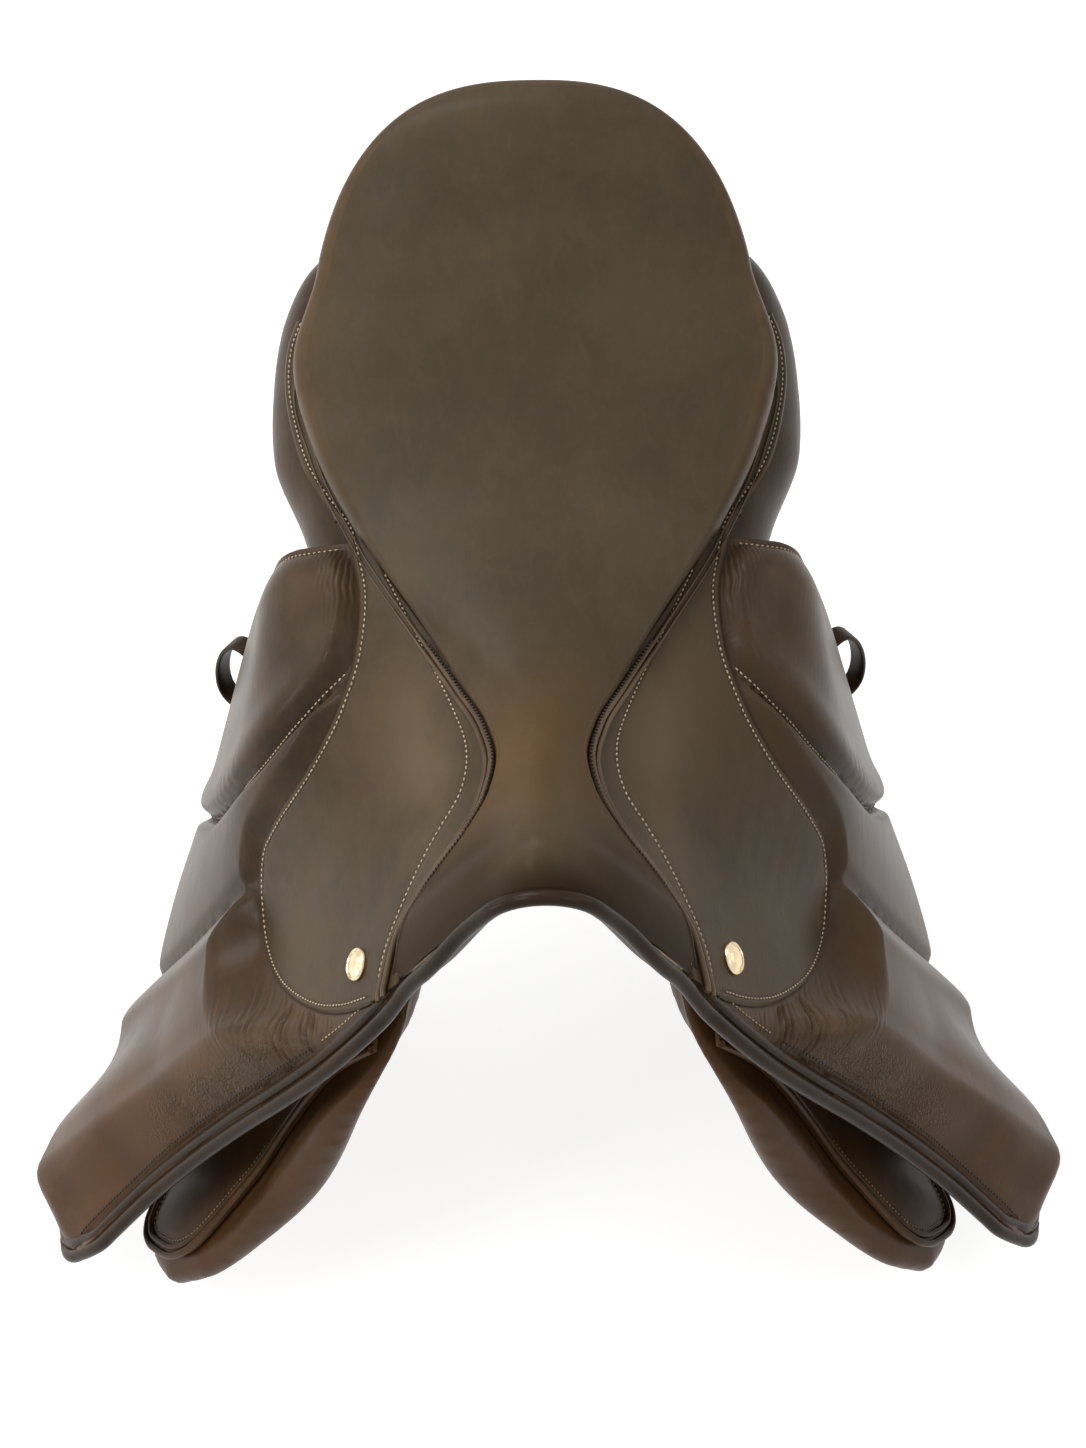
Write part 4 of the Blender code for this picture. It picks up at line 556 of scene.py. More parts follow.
class Flow:
    """A value on its way through a material."""

    def __init__(self, nodes, socket):
        self.nodes, self.socket = nodes, socket

    def __add__(self, other):
        return self.nodes.maths("ADD", self, other)

    def __radd__(self, other):
        return self.nodes.maths("ADD", other, self)

    def __sub__(self, other):
        return self.nodes.maths("SUBTRACT", self, other)

    def __rsub__(self, other):
        return self.nodes.maths("SUBTRACT", other, self)

    def __mul__(self, other):
        return self.nodes.maths("MULTIPLY", self, other)

    def __rmul__(self, other):
        return self.nodes.maths("MULTIPLY", other, self)

    def between(self, low, high):
        """0 below low, 1 above high, smooth in between."""
        node = self.nodes.node("ShaderNodeMapRange", {"interpolation_type": "SMOOTHSTEP"},
                               {"Value": self, "From Min": low, "From Max": high})
        return Flow(self.nodes, node.outputs[0])


class Nodes:
    """The nodes of a material or of the world."""

    def __init__(self, owner):
        owner.use_nodes = True
        self.tree = owner.node_tree
        self.tree.nodes.clear()

    def node(self, kind, settings=None, inputs=None):
        node = self.tree.nodes.new(kind)
        for key, value in (settings or {}).items():
            setattr(node, key, value)
        for key, value in (inputs or {}).items():
            self.put(node.inputs[key], value)
        return node

    def put(self, socket, value):
        if isinstance(value, Flow):
            value = value.socket
        if isinstance(value, bpy.types.NodeSocket):
            self.tree.links.new(value, socket)
        else:
            colour = isinstance(value, tuple) and socket.type == "RGBA"
            socket.default_value = (*value, 1.0) if colour else value

    def maths(self, operation, *values):
        node = self.node("ShaderNodeMath", {"operation": operation}, dict(enumerate(values)))
        return Flow(self, node.outputs[0])

    def seen(self):
        """1 for what the camera sees, straight, in gloss or through glass."""
        path = self.node("ShaderNodeLightPath").outputs
        straight = self.maths("MAXIMUM", path["Is Camera Ray"], path["Is Glossy Ray"])
        return self.maths("MAXIMUM", straight, path["Is Transmission Ray"])


class Finish(Nodes):
    """A material made of nodes."""

    def __init__(self, name):
        self.material = bpy.data.materials.new(name)
        super().__init__(self.material)
        self.shader = self.node("ShaderNodeBsdfPrincipled")
        self.node("ShaderNodeOutputMaterial", {}, {0: self.shader.outputs[0]})
        self.where = self.node("ShaderNodeTexCoord").outputs["Object"]

    def stretched(self, scale):
        return self.node("ShaderNodeMapping", {}, {"Vector": self.where, "Scale": scale}).outputs[0]

    def noise(self, scale, detail=3.0, roughness=0.55, distortion=0.0, vector=None, output=0):
        node = self.node("ShaderNodeTexNoise", {}, {
            "Vector": vector or self.where, "Scale": scale, "Detail": detail, "Roughness": roughness,
            "Distortion": distortion})
        return Flow(self, node.outputs[output])

    def cells(self, scale, feature="F1", vector=None):
        node = self.node("ShaderNodeTexVoronoi", {"feature": feature}, {
            "Vector": vector or self.where, "Scale": scale})
        return Flow(self, node.outputs["Distance"])

    def waves(self, scale, distortion, detail, direction="X", vector=None):
        node = self.node("ShaderNodeTexWave", {"bands_direction": direction}, {
            "Vector": vector or self.where, "Scale": scale, "Distortion": distortion, "Detail": detail})
        return Flow(self, node.outputs[1])

    def note(self, name):
        return Flow(self, self.node("ShaderNodeAttribute", {"attribute_name": name}).outputs["Fac"])

    def mix(self, share, one, other):
        node = self.node("ShaderNodeMix", {"data_type": "RGBA"}, {0: share, 6: one, 7: other})
        return node.outputs[2]

    def raised(self, height, distance, strength=1.0, under=None):
        """A bump over the one under it."""
        inputs = {"Height": height, "Distance": distance, "Strength": strength}
        if under:
            inputs["Normal"] = under
        return self.node("ShaderNodeBump", {}, inputs).outputs[0]

    def done(self, **values):
        for key, value in values.items():
            self.put(self.shader.inputs[key.replace("_", " ")], value)
        return self.material


def scaled(colour, amount):
    return tuple(c * amount for c in colour)


def leather(name, base, dark, warm, rough=0.42, coat=0.05, blotch=0.45, shine=0.10):
    """Smooth bridle leather: cloudy dye, a fine grain, a net of small creases and rubbed edges, with painted
    shade and a painted sheen laid on where the notes ask.
    """
    f = Finish(name)
    worn = (0.15, 0.09, 0.05)
    cloud = f.noise(11.0, 5.0, 0.62)
    patch = f.noise(29.0, 4.0, 0.6, 0.8)
    speck = f.noise(520.0, 2.0, 0.6)
    strokes = f.noise(90.0, 4.0, 0.7, 1.2, f.stretched((1.0, 0.35, 0.6)))
    edge, fold, tan, pale = f.note("edge"), f.note("fold"), f.note("tan"), f.note("pale")
    colour = f.mix(cloud.between(0.34, 0.66), dark, base)
    colour = f.mix(patch.between(0.42, 0.80) * blotch + tan * 0.75, colour, warm)
    colour = f.mix(strokes.between(0.40, 0.75) * 0.16, colour, scaled(base, 1.55))
    colour = f.mix(speck.between(0.40, 0.75) * 0.10, colour, scaled(base, 0.5))
    # Painted sheen: a paler, cloudy lift where the note asks, standing in for light caught on skirts and
    # flaps.
    colour = f.mix(pale * cloud.between(0.20, 0.60) * 0.50, colour, scaled(base, 2.1))
    # Painted shade: creases, grooves, recesses and faces turned from the light are darkened towards a deep
    # brown; the same note also roughens them.
    colour = f.mix(fold * 0.88, colour, (base[0] * 0.36, base[1] * 0.26, base[2] * 0.20))
    colour = f.mix(edge * f.noise(48.0, 4.0, 0.7).between(0.32, 0.68) * 0.55, colour, worn)
    wrinkle = f.noise(210.0, 3.0, 0.62, 0.6, f.stretched((1.0, 0.45, 0.7)))
    bent = f.node("ShaderNodeVectorMath", {"operation": "MULTIPLY_ADD"},
                  {0: f.noise(75.0, roughness=0.5, output=1), 1: (0.011, 0.011, 0.011),
                   2: f.stretched((1.0, 0.62, 0.62))}).outputs[0]
    cracks = 1.0 - f.cells(430.0, "DISTANCE_TO_EDGE", bent).between(0.0, 0.24)
    creased = f.note("crackle") * f.noise(60.0, 2.0).between(0.30, 0.60)
    normal = f.raised(f.cells(1300.0) * 0.3 + speck * 0.5, 0.00010, 0.8)
    normal = f.raised(wrinkle * f.noise(26.0, 2.0).between(0.42, 0.70), 0.0005, 0.35, normal)
    normal = f.raised(1.0 - cracks * creased, 0.0007, 0.9, normal)
    normal = f.raised(strokes, 0.0006, 0.22, normal)
    roughness = rough + (cloud - 0.5) * 0.14 + (strokes - 0.5) * 0.10 + fold * 0.10 - edge * 0.04
    return f.done(Base_Color=colour, Roughness=roughness, Normal=normal, Coat_Weight=coat,
                  Coat_Roughness=0.22, Specular_IOR_Level=shine)


def thread(name, colour, dark):
    """Waxed linen thread, twisted."""
    f = Finish(name)
    twist = f.noise(900.0, 2.0, 0.6)
    colour = f.mix(twist.between(0.35, 0.7), dark, colour)
    colour = f.mix(f.noise(60.0, 2.0, 0.6).between(0.5, 0.8) * 0.4, colour, dark)
    return f.done(Base_Color=colour, Roughness=0.62, Normal=f.raised(twist, 0.0002, 0.6))


def metal(name, colour, rough, scratch=0.3, metallic=1.0):
    """Brushed and a little spotted."""
    f = Finish(name)
    brushed = f.noise(160.0, 4.0, 0.7, vector=f.stretched((1.0, 9.0, 9.0)))
    spots = f.noise(70.0, 3.0, 0.6)
    shade = f.mix(spots.between(0.4, 0.75) * 0.5, colour, scaled(colour, 0.62))
    roughness = rough + (brushed - 0.5) * scratch + spots.between(0.5, 0.8) * 0.15
    return f.done(Base_Color=shade, Roughness=roughness, Metallic=metallic,
                  Normal=f.raised(brushed, 0.00008, 0.4))


def woven(name, colour, dark):
    """Linen web."""
    f = Finish(name)
    weave = (f.waves(300.0, 0.4, 1.0) + f.waves(300.0, 0.4, 1.0, "Y")) * 0.5
    colour = f.mix(weave.between(0.25, 0.7), dark, colour)
    return f.done(Base_Color=colour, Roughness=0.85, Normal=f.raised(weave, 0.0005, 0.7))


def cut_foam():
    f = Finish("cut_foam")
    colour = f.mix(f.noise(18.0).between(0.35, 0.7), (0.55, 0.46, 0.28), (0.66, 0.59, 0.40))
    return f.done(Base_Color=colour, Roughness=0.92, Normal=f.raised(f.cells(520.0), 0.0006, 0.6))


def beech(name):
    f = Finish(name)
    grain = f.waves(36.0, 5.0, 3.0, vector=f.stretched((1.0, 0.25, 1.0)))
    pores = f.noise(300.0, 3.0, 0.6, vector=f.stretched((1.0, 0.12, 1.0)))
    colour = f.mix(grain.between(0.2, 0.8), (0.30, 0.18, 0.09), (0.46, 0.31, 0.18))
    colour = f.mix(pores.between(0.55, 0.75) * 0.5, colour, (0.16, 0.09, 0.05))
    return f.done(Base_Color=colour, Roughness=0.55, Normal=f.raised(pores, 0.0003, 0.4))


seat_hide = leather("seat_hide", (0.09, 0.067, 0.04), (0.067, 0.051, 0.032), (0.14, 0.076, 0.028),
                    rough=0.43, coat=0.04, blotch=0.16, shine=0.08)
skirt_hide = leather("skirt_hide", (0.088, 0.062, 0.035), (0.056, 0.039, 0.022), (0.11, 0.06, 0.025),
                     rough=0.38, blotch=0.35)
flap_hide = leather("flap_hide", (0.082, 0.051, 0.027), (0.046, 0.03, 0.017), (0.11, 0.049, 0.017),
                    rough=0.34, coat=0.07)
panel_hide = leather("panel_hide", (0.062, 0.041, 0.023), (0.036, 0.023, 0.013), (0.118, 0.048, 0.014),
                     rough=0.36, blotch=0.30, shine=0.08)
# Sweat flaps: their own brown, lifted as painted light to make up for the shade they lie in under the flaps.
sweat_hide_with_painted_light = leather("sweat_hide_with_painted_light", (0.12, 0.062, 0.025), (0.064, 0.034, 0.014), (0.16, 0.074, 0.026),
                     rough=0.38, blotch=0.55, shine=0.08)
strap_hide = leather("strap_hide", (0.04, 0.022, 0.012), (0.022, 0.012, 0.007), (0.056, 0.028, 0.012),
                     rough=0.45)
roll_hide = leather("roll_hide", (0.036, 0.021, 0.011), (0.02, 0.012, 0.007), (0.056, 0.029, 0.012),
                    rough=0.30, coat=0.06)
# Welts: a lighter tan leather, brightened further as a painted highlight along their rounded tops.
welt_hide = leather("welt_hide", (0.17, 0.112, 0.066), (0.08, 0.05, 0.028), (0.2, 0.12, 0.064),
                    rough=0.30, coat=0.16)
cream_thread = thread("cream_thread", (0.74, 0.63, 0.45), (0.46, 0.36, 0.23))
dark_thread = thread("dark_thread", (0.035, 0.024, 0.017), (0.015, 0.010, 0.008))
pale_gold = metal("pale_gold", (0.84, 0.68, 0.44), 0.22, 0.12)
forged_steel = metal("forged_steel", (0.46, 0.45, 0.44), 0.36)
black_enamel_and_shade = metal("black_enamel_and_shade", (0.022, 0.020, 0.019), 0.42, 0.25, 0.0)
linen_web = woven("linen_web", (0.52, 0.47, 0.37), (0.33, 0.28, 0.20))
foam_finish = cut_foam()
beech_ply = beech("beech_ply")

# CAD nodes by the material they came with: of steel, the bars and catches are bare and the rest enamelled
# black, a black that also stands in for the shade in the opening under the pommel's arch
CAME_WITH = {"foam": foam_finish, "linen_web": linen_web, "beech_ply": beech_ply, "pale_gold": pale_gold,
             "steel": black_enamel_and_shade}
for node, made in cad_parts.items():
    for slot in made.material_slots:
        slot.material = CAME_WITH.get(slot.material.name.split(".")[0], strap_hide)
        if node.startswith(("stirrup_bar", "bar_catch", "catch_pin")):
            slot.material = forged_steel


# Seat

def seat_height(x, y):
    """The seat's top: from its middle line to its edge it falls off roundly, more so at the back."""
    share = np.clip(np.abs(x) / np.maximum(seat_half(y), 0.002), 0, 1)
    power = (1.6 + 0.9 * ease((y + 0.20) / 0.16)) / 2
    fall = (share * share + 0.03) ** power - 0.03 ** power
    return seat_middle(y) - (seat_middle(y) - edge_level(y)) * (fall / (1.03 ** power - 0.03 ** power))


def seat_outline(step, start=-1.0):
    """The seat's outline, from one side round the cantle to the other, with its places a step apart."""
    front = np.linspace(POMMEL_FRONT, CANTLE_TURN, 150, endpoint=False)
    back = CANTLE_TURN + (CANTLE_BACK - CANTLE_TURN) * np.sin(np.linspace(0, math.pi / 2, 60))
    y = np.concatenate([front, back])
    half = spaced(np.stack([seat_half(y), y], -1), step)
    half[-1, 0] = 0.0
    half = half[half[:, 1] > start]
    return np.vstack([half, half[-2::-1] * (-1, 1)])


def make_seat():
    """The seat's leather: its sunk top, the roll round its edge, and the strip that goes down to the seam."""
    line = seat_outline(0.0024)
    square = square_to(line)
    y = line[:, 1]
    roll = roll_depth(y)
    bulge = 0.34 * roll
    inner = line - square * bulge[:, None]
    inner[:, 1] = np.maximum(inner[:, 1], POMMEL_FRONT)
    spine = np.where(y < 0.04, y, 0.04 + 0.09 * (1 - np.exp(-(y - 0.04) / 0.09)))
    shares = np.sin(np.linspace(0, 1, 60) * math.pi / 2) ** 0.9
    x = inner[:, 0] * shares[:, None]
    along_y = spine + (inner[:, 1] - spine) * shares[:, None]
    top = np.stack([x, along_y, seat_height(x, along_y)], -1)
    start = top[-1, :, 2]
    seam = SEEN_TUCK * np.minimum(seat_half(y) - seam_half(y), 0.011)
    floor = SIDE.at(*np.array(on_side(y, seam_half)).T, 0.0006)[:, 2]
    level = edge_level(y) - roll
    bottom = np.where(level > floor + 0.006, level, floor)
    rows = [top]
    for q in np.linspace(0, 1, 16)[1:]:
        turn = q * math.pi
        under = ease(2 * q - 1)
        full = bulge * (math.sin(turn) ** 0.8 if q < 0.5 else 1.0)
        outward = full * (1 - under) + under * (0.55 * bulge * (1 - ease(seam / 0.004)) - seam)
        flat = inner + square * outward[:, None]
        flat[:, 1] = np.maximum(flat[:, 1], POMMEL_FRONT - 0.0008)
        z = start - (start - bottom) * (1 - math.cos(turn)) / 2
        rows.append(np.concatenate([flat, z[:, None]], -1)[None])
    places = np.concatenate(rows)
    y, x = places[..., 1], np.abs(places[..., 0])
    places[..., 2] -= 0.0105 * np.clip((-0.2095 - y) / 0.025, 0, 1) ** 2.2
    places[..., 2] += 0.0010 * bump((y + 0.2085) / 0.010) * bump(x / 0.06)
    pull = np.sin(y * 900 + 3 * np.sin(x * 300)) * bump((y + 0.150) / 0.050)
    places[..., 2] += 0.00022 * pull * ease((x - seat_half(y) + 0.012) / 0.010)
    row = np.arange(places.shape[0])[:, None]
    edge = np.where((row > 58) & (row < 68), 0.8, 0.0) * (ease((y - 0.02) / 0.1) * 0.9 + 0.1)
    # Painted shade: darker in the crease at the pommel's roll, under the seat's roll, on the pommel's flanks,
    # and down the pommel's front face, which turns from the light.
    flanks = 0.85 * ease((-0.168 - y) / 0.034) * ease((x - 0.006) / 0.032)
    fold = strongest(bump((y - POMMEL_FRONT) / 0.0035) * 0.9, 0.95 * (row > 71), flanks,
                     ease((-0.213 - y) / 0.016))
    rim = 1 - x / np.maximum(seat_half(y), 0.01)
    tan = np.clip(0.85 * bump((y + 0.145) / 0.052) + 0.5 * bump(rim / 0.10) * ease((y + 0.02) / 0.08), 0, 1)
    seat = skin("seat_cover_leather", places, around=True, outwards=(0, 0, 1), edge=edge, fold=fold, tan=tan)
    thickened(seat, 0.0018, 0.0)
    place(seat, seat_hide, replaces=["seat_cover"])


# Skirts

SKIRT_EDGE = smooth_line(SIDE.by_height(SKIRT_LOW[::-1]), 8)
INNER_STITCH = smooth_line(INNER_SEAM, 8)
BINDING = 0.0042


def skirt_swell(y, s):
    """The skirt's long soft ridge, where it lies over the stirrup bar."""
    ridge = bump((y + 0.150 - (s - 0.10) * 0.12) / 0.030) * ease((s - 0.05) / 0.05)
    hollow = bump((y + 0.19) / 0.02) * bump((s - 0.15) / 0.03)
    return 0.0004 + 0.0018 * ridge * (1 - ease((s - 0.13) / 0.05)) - 0.0010 * hollow


def bend(body, points, place_y, above, below, depth=0.0):
    """Where a leather bends between its two ends: it starts above this line and ends below it."""
    ends = [SIDE.at(*SIDE.by_height([p])[0], -depth) for p in points]
    run = (ends[1] - ends[0]) / np.linalg.norm(ends[1] - ends[0])
    middle = (ends[0] + ends[1]) / 2
    down = np.cross(run, SIDE.out(*SIDE.by_height([(place_y, float(middle[2]))])[0]))
    down = down if down[2] < 0 else -down
    return ["saddle", body, tuple(middle - down * above), tuple(middle + down * below)]


SKIRT_BEND = bend("skirt_{}_body", SKIRT_FOLD, -0.126, 0.006, 0.010)
FLAP_BEND = bend("flap_{}_body", FLAP_FOLD, -0.121, 0.014, 0.014, FLAP_DEPTH)


def make_skirts():
    """Each skirt with its base in one, a groove beside its edge, and its two rows of stitches."""
    inner = np.array(on_side(np.linspace(-0.2372, 0.142, 70), seam_half, -0.0045))
    shares = runs((0, 6), (0.03, 200))
    meet = through(((0.0, 0.0), (0.10, 0.19), (0.25, 0.45), (0.42, 0.62), (0.62, 0.77), (1.0, 1.0)))(shares)
    across = edge_steps(50, 9, 0.13)[:, None, None]
    flat = spread(inner, shares)[None] * (1 - across) + spread(SKIRT_EDGE, meet)[None] * across
    out_edge, in_edge, stitch = (away_from(flat, line) for line in (SKIRT_EDGE, inner, INNER_STITCH))
    y, s = flat[..., 0], flat[..., 1]
    drop = 0.0014 * (1 - ease(out_edge / 0.0024)) + 0.0007 * (1 - ease(in_edge / 0.0014))
    groove = 0.00050 * bump((out_edge - BINDING) / 0.0010) + 0.00045 * bump(stitch / 0.0009)
    ripple = 0.00008 * np.sin(s * 420 + 40 * y) * bump((y + 0.11) / 0.05) * ease((s - 0.11) / 0.03)
    places = SIDE.at(y, s, skirt_swell(y, s) - drop - groove + ripple)
    # Painted shade in the grooves at the inner seam, beside the binding, along the outer edge and along the
    # stitches.
    fold = strongest(bump(in_edge / 0.0016) * 0.85, bump((out_edge - BINDING) / 0.0013) * 0.55,
                     0.55 * (1 - ease(out_edge / 0.0020)), 0.40 * bump(stitch / 0.0011))
    edge = bump((out_edge - 0.0016) / 0.0012) * 0.75
    tan = 0.35 * bump((y + 0.095) / 0.04) * bump((s - 0.10) / 0.04)
    # Painted sheen: a paler band down the skirt's ridge, where the light catches it.
    pale = bump((s - 0.072 - 0.035 * ease((-0.13 - y) / 0.10)) / 0.020) * bump((y + 0.125) / 0.065)
    skirt = skin("skirt_leather_left", places, outwards=(1, 0, 0.5), edge=edge, fold=fold, tan=tan, pale=pale)
    thickened(skirt, SKIRT_THICK, 0.0007)
    both(skirt, skirt_hide, "skirt_leather", replaces=["skirt_{}", "skirt_base_{}"], blend=SKIRT_BEND,
         sheet=held((0.38, 0.24), 0.033))
    for name, line in (("edge", beside(SKIRT_EDGE, BINDING)[1:]), ("seam", INNER_STITCH)):
        stitch_line(f"skirt_{name}_stitches_left", line, lambda row: skirt_swell(*row.T) - 0.0002,
                    cream_thread, "skirt_leather", SKIRT_BEND)


# Flaps

FLAP_TOP = smooth_line([*SIDE.by_height(FLAP_FRONT[:1]), *SIDE.by_width(BAR_CUT),
                        *SIDE.by_height(FLAP_REAR[:1])], 8)
FRONT_LINE = smooth_line(SIDE.by_height(FLAP_FRONT))
BOTTOM_LINE = smooth_line(SIDE.by_height(FLAP_BOTTOM))
REAR_LINE = smooth_line(SIDE.by_height(FLAP_REAR))
REAR_SEAM_LINE, KNEE_SEAM_LINE = smooth_line(REAR_SEAM), smooth_line(KNEE_SEAM)
EDGE_ORDER = np.argsort(SKIRT_EDGE[:, 0])


def behind(line, y, s):
    """Above 0 behind a line down the side, below 0 in front of it."""
    return y - np.interp(s, line[:, 1], line[:, 0])


def below_skirt(y, s):
    """How far a place lies below the skirt's edge, less than 0 under it."""
    return s - np.interp(y, *SKIRT_EDGE[EDGE_ORDER].T)


def uncovered(flat, reach=None):
    """0 under the skirt, rising to 1 a little below its edge; slower over the knee."""
    y, s = flat[..., 0], flat[..., 1]
    if reach is None:
        reach = 0.012 + 0.030 * ease((-0.130 - y) / 0.07)
    return np.where(below_skirt(y, s) > 0, ease((away_from(flat, SKIRT_EDGE) + 0.001) / reach), 0.0)


def flap_rims(flat):
    """How far places lie from the flap's front edge, and from its lower and rear edges."""
    return away_from(flat, FRONT_LINE), np.minimum(away_from(flat, BOTTOM_LINE), away_from(flat, REAR_LINE))


def flap_crown(flat, front, rest):
    """How far the flap's padding stands over its leather."""
    y, s = flat[..., 0], flat[..., 1]
    knee, rear = behind(KNEE_SEAM_LINE, y, s), behind(REAR_SEAM_LINE, y, s)
    crown = 0.0085 + 0.0018 * bump((knee + 0.012) / 0.010)
    low = ease((s - 0.33) / 0.08)
    fuller = 0.0065 * bump((y + 0.190) / 0.032) - 0.0150 * ease((-0.212 - y) / 0.036)
    crown = crown + (0.0185 + fuller * low) * ease(-knee / 0.030)
    crown = np.where(rear > 0, 0.0080 + 0.0030 * bump((rear - 0.012) / 0.012), crown)
    pull = 1 - 0.88 * bump(away_from(flat, REAR_SEAM_LINE) / 0.0036)
    pull = pull - 0.45 * bump(away_from(flat, KNEE_SEAM_LINE) / 0.0042)
    shoulder = np.sin(0.5 * math.pi * np.clip((front - 0.0105) / 0.030, 0, 1)) ** 0.80
    rim = np.sin(0.5 * math.pi * np.clip((rest - 0.0045) / 0.019, 0, 1)) ** 0.75
    return crown * np.clip(pull, 0, 1) * shoulder * rim


def creases(flat):
    """The pleats at the flap's top, the fan of creases under the skirt and the soft waves of the knee."""
    y, s = flat[..., 0], flat[..., 1]
    under = below_skirt(y, s)
    pleats = (ease(under / 0.003) * (1 - ease((under - 0.009) / 0.015)) * ease((0.0060 - y) / 0.004)
              * (1 - ease((-0.014 - y) / 0.034)))
    wave = np.sin(s * 2250 + 300 * y + 1.6 * np.sin(y * 170 + s * 60) + 0.7 * np.sin(y * 430))
    turned = s + 0.10 * (y + 0.232) + 0.0006 * np.sin(y * 130 + s * 70)
    uneven = 0.55 + 0.45 * np.sin(s * 310 + 60 * y + 1.0)
    fan = bump((y + 0.229) / 0.024) * bump((s - 0.214) / 0.018) * ease((under - 0.001) / 0.006)
    fan = (fan + 0.30 * bump((y + 0.212) / 0.03) * bump((s - 0.246) / 0.022)) * uneven
    ripple = 0.6 * np.sin(turned * 1500 + 1.5 * np.sin(y * 110))
    ripple = ripple + 0.4 * np.sin(turned * 2150 + 1.2 * np.sin(y * 150))
    rolls = np.sin(s * 95 + 40 * y + 2.0 * np.sin(y * 45)) * ease((-0.14 - y) / 0.04)
    rolls = rolls * ease((s - 0.24) / 0.05)
    drag = np.sin(s * 500 + 260 * y) * bump((behind(REAR_SEAM_LINE, y, s) - 0.012) / 0.016)
    drag = drag * ease((s - 0.18) / 0.06)
    return 0.00048 * pleats * wave + 0.00140 * fan * ripple + 0.00020 * rolls + 0.00010 * drag


def flap_out(flat):
    """How far the flap's leather stands out from the side."""
    front, rest = flap_rims(flat)
    strip = -0.0010 * bump((front - 0.0096) / 0.0011) - 0.0005 * bump((rest - BINDING) / 0.0010)
    sunk = 0.0032 * (1 - ease(np.minimum(front, rest) / 0.0016))
    soft = (flap_crown(flat, front, rest) + strip) * uncovered(flat) + creases(flat) * uncovered(flat, 0.004)
    return -FLAP_DEPTH + 0.0022 - sunk + soft


def flap_stitches(name, line, finish=None, **kind):
    stitch_line(f"flap_{name}_stitches_left", line, lambda row: flap_out(row) + 0.0002,
                finish or cream_thread, "flap_leather", FLAP_BEND, **kind)


def make_flaps():
    """Each flap's padded cover, the leather behind it, and its stitches."""
    flat = coons(FLAP_TOP, BOTTOM_LINE, FRONT_LINE, REAR_LINE, runs((0, 130), (0.30, 56), (0.84, 64)),
                 runs((0, 130), (0.20, 130), (0.50, 50), (0.96, 12)))
    y, s = flat[..., 0], flat[..., 1]
    front, rest = flap_rims(flat)
    knee = behind(KNEE_SEAM_LINE, y, s)
    # Painted shade in the seams, the groove inside the front edge, the creases' hollows, along the sunk rims
    # and just below the skirt's edge.
    fold = strongest(0.85 * bump(away_from(flat, REAR_SEAM_LINE) / 0.0016),
                     0.75 * bump(away_from(flat, KNEE_SEAM_LINE) / 0.0011),
                     0.9 * bump((front - 0.0096) / 0.0009), 0.8 * np.clip(-creases(flat) / 0.0006, 0, 1),
                     0.6 * (1 - ease(np.minimum(front, rest) / 0.0018)),
                     0.75 * bump((below_skirt(y, s) - 0.0004) / 0.0022))
    edge = strongest(bump((rest - 0.0022) / 0.0016) * 0.6,
                     0.6 * bump((rest - 0.016) / 0.012) * ease((0.03 - knee) / 0.02))
    tan = 0.8 * ease((-0.05 - knee) / 0.05) * ease((s - 0.26) / 0.10) + 0.25 * ease(-knee / 0.03)
    # Painted sheen: paler over the knee near the front edge and inside the lower and rear rims, where the
    # light catches the padding.
    pale = 0.9 * bump((front - 0.030) / 0.014) * bump((s - 0.27) / 0.05)
    pale = pale + 0.5 * bump((rest - 0.02) / 0.014) * (s < 0.30)
    crackle = bump((front - 0.019) / 0.0085) * ease((s - 0.20) / 0.05) * (1 - ease((s - 0.32) / 0.07))
    cover = skin("flap_cover_left", SIDE.at(y, s, flap_out(flat)), outwards=(1, 0, 0.5), edge=edge,
                 fold=fold, tan=np.clip(tan, 0, 1), crackle=crackle * 0.8, pale=pale)
    both(finished(cover), flap_hide, "flap_leather", replaces=["flap_{}", "flap_top_{}", "flap_pad_{}"],
         blend=FLAP_BEND, padded=0.8)
    coarse = coons(FLAP_TOP, BOTTOM_LINE, FRONT_LINE, REAR_LINE, edge_steps(70, 4, 0.03),
                   edge_steps(100, 4, 0.03))
    backing = skin("flap_backing_left", SIDE.at(coarse[..., 0], coarse[..., 1], -FLAP_DEPTH - 0.0002),
                   outwards=(1, 0, 0.5), edge=0.3, tan=0.2)
    thickened(backing, FLAP_THICK, 0.0010)
    both(backing, strap_hide, "flap_leather", blend=FLAP_BEND, sheet=held((0.31, 0.42), 0.105))
    shown = REAR_SEAM_LINE[below_skirt(*REAR_SEAM_LINE.T) > 0.002]
    flap_stitches("seam", shown + (0.0012, 0), pitch=0.0032, length=0.0024)
    inside = beside(REAR_LINE, -BINDING)
    flap_stitches("corner", inside[inside[:, 1] < 0.20][3:], length=0.0019, width=0.0010)
    inside = beside(FRONT_LINE, 0.0118)
    upper = inside[(inside[:, 1] > 0.150) & (inside[:, 1] < 0.200)]
    flap_stitches("edge_light", upper, length=0.0019, width=0.0009)
    flap_stitches("edge_dark", inside[inside[:, 1] > 0.204], dark_thread, length=0.0021)


def front_path(offset, out):
    """A path along the flap's front edge, round its lower corner, as (place, length down, out)."""
    line = np.vstack([beside(FRONT_LINE, offset)[:-5], beside(BOTTOM_LINE, offset)[5:13]])
    return np.column_stack([line, -FLAP_DEPTH + out - 0.001 * np.linspace(0, 1, len(line))])


def tube_along(name, points, radius, thin, flat=1.0):
    """A tube along (place, length down, out) points; thin gives its size along its length."""
    y, s, out = smooth_line(spaced(points, 0.012), 6).T
    return swept(name, SIDE.at(y, s, out), SIDE.out(y, s), ring(radius, 16, flat),
                 thin(np.linspace(0, 1, len(y))))


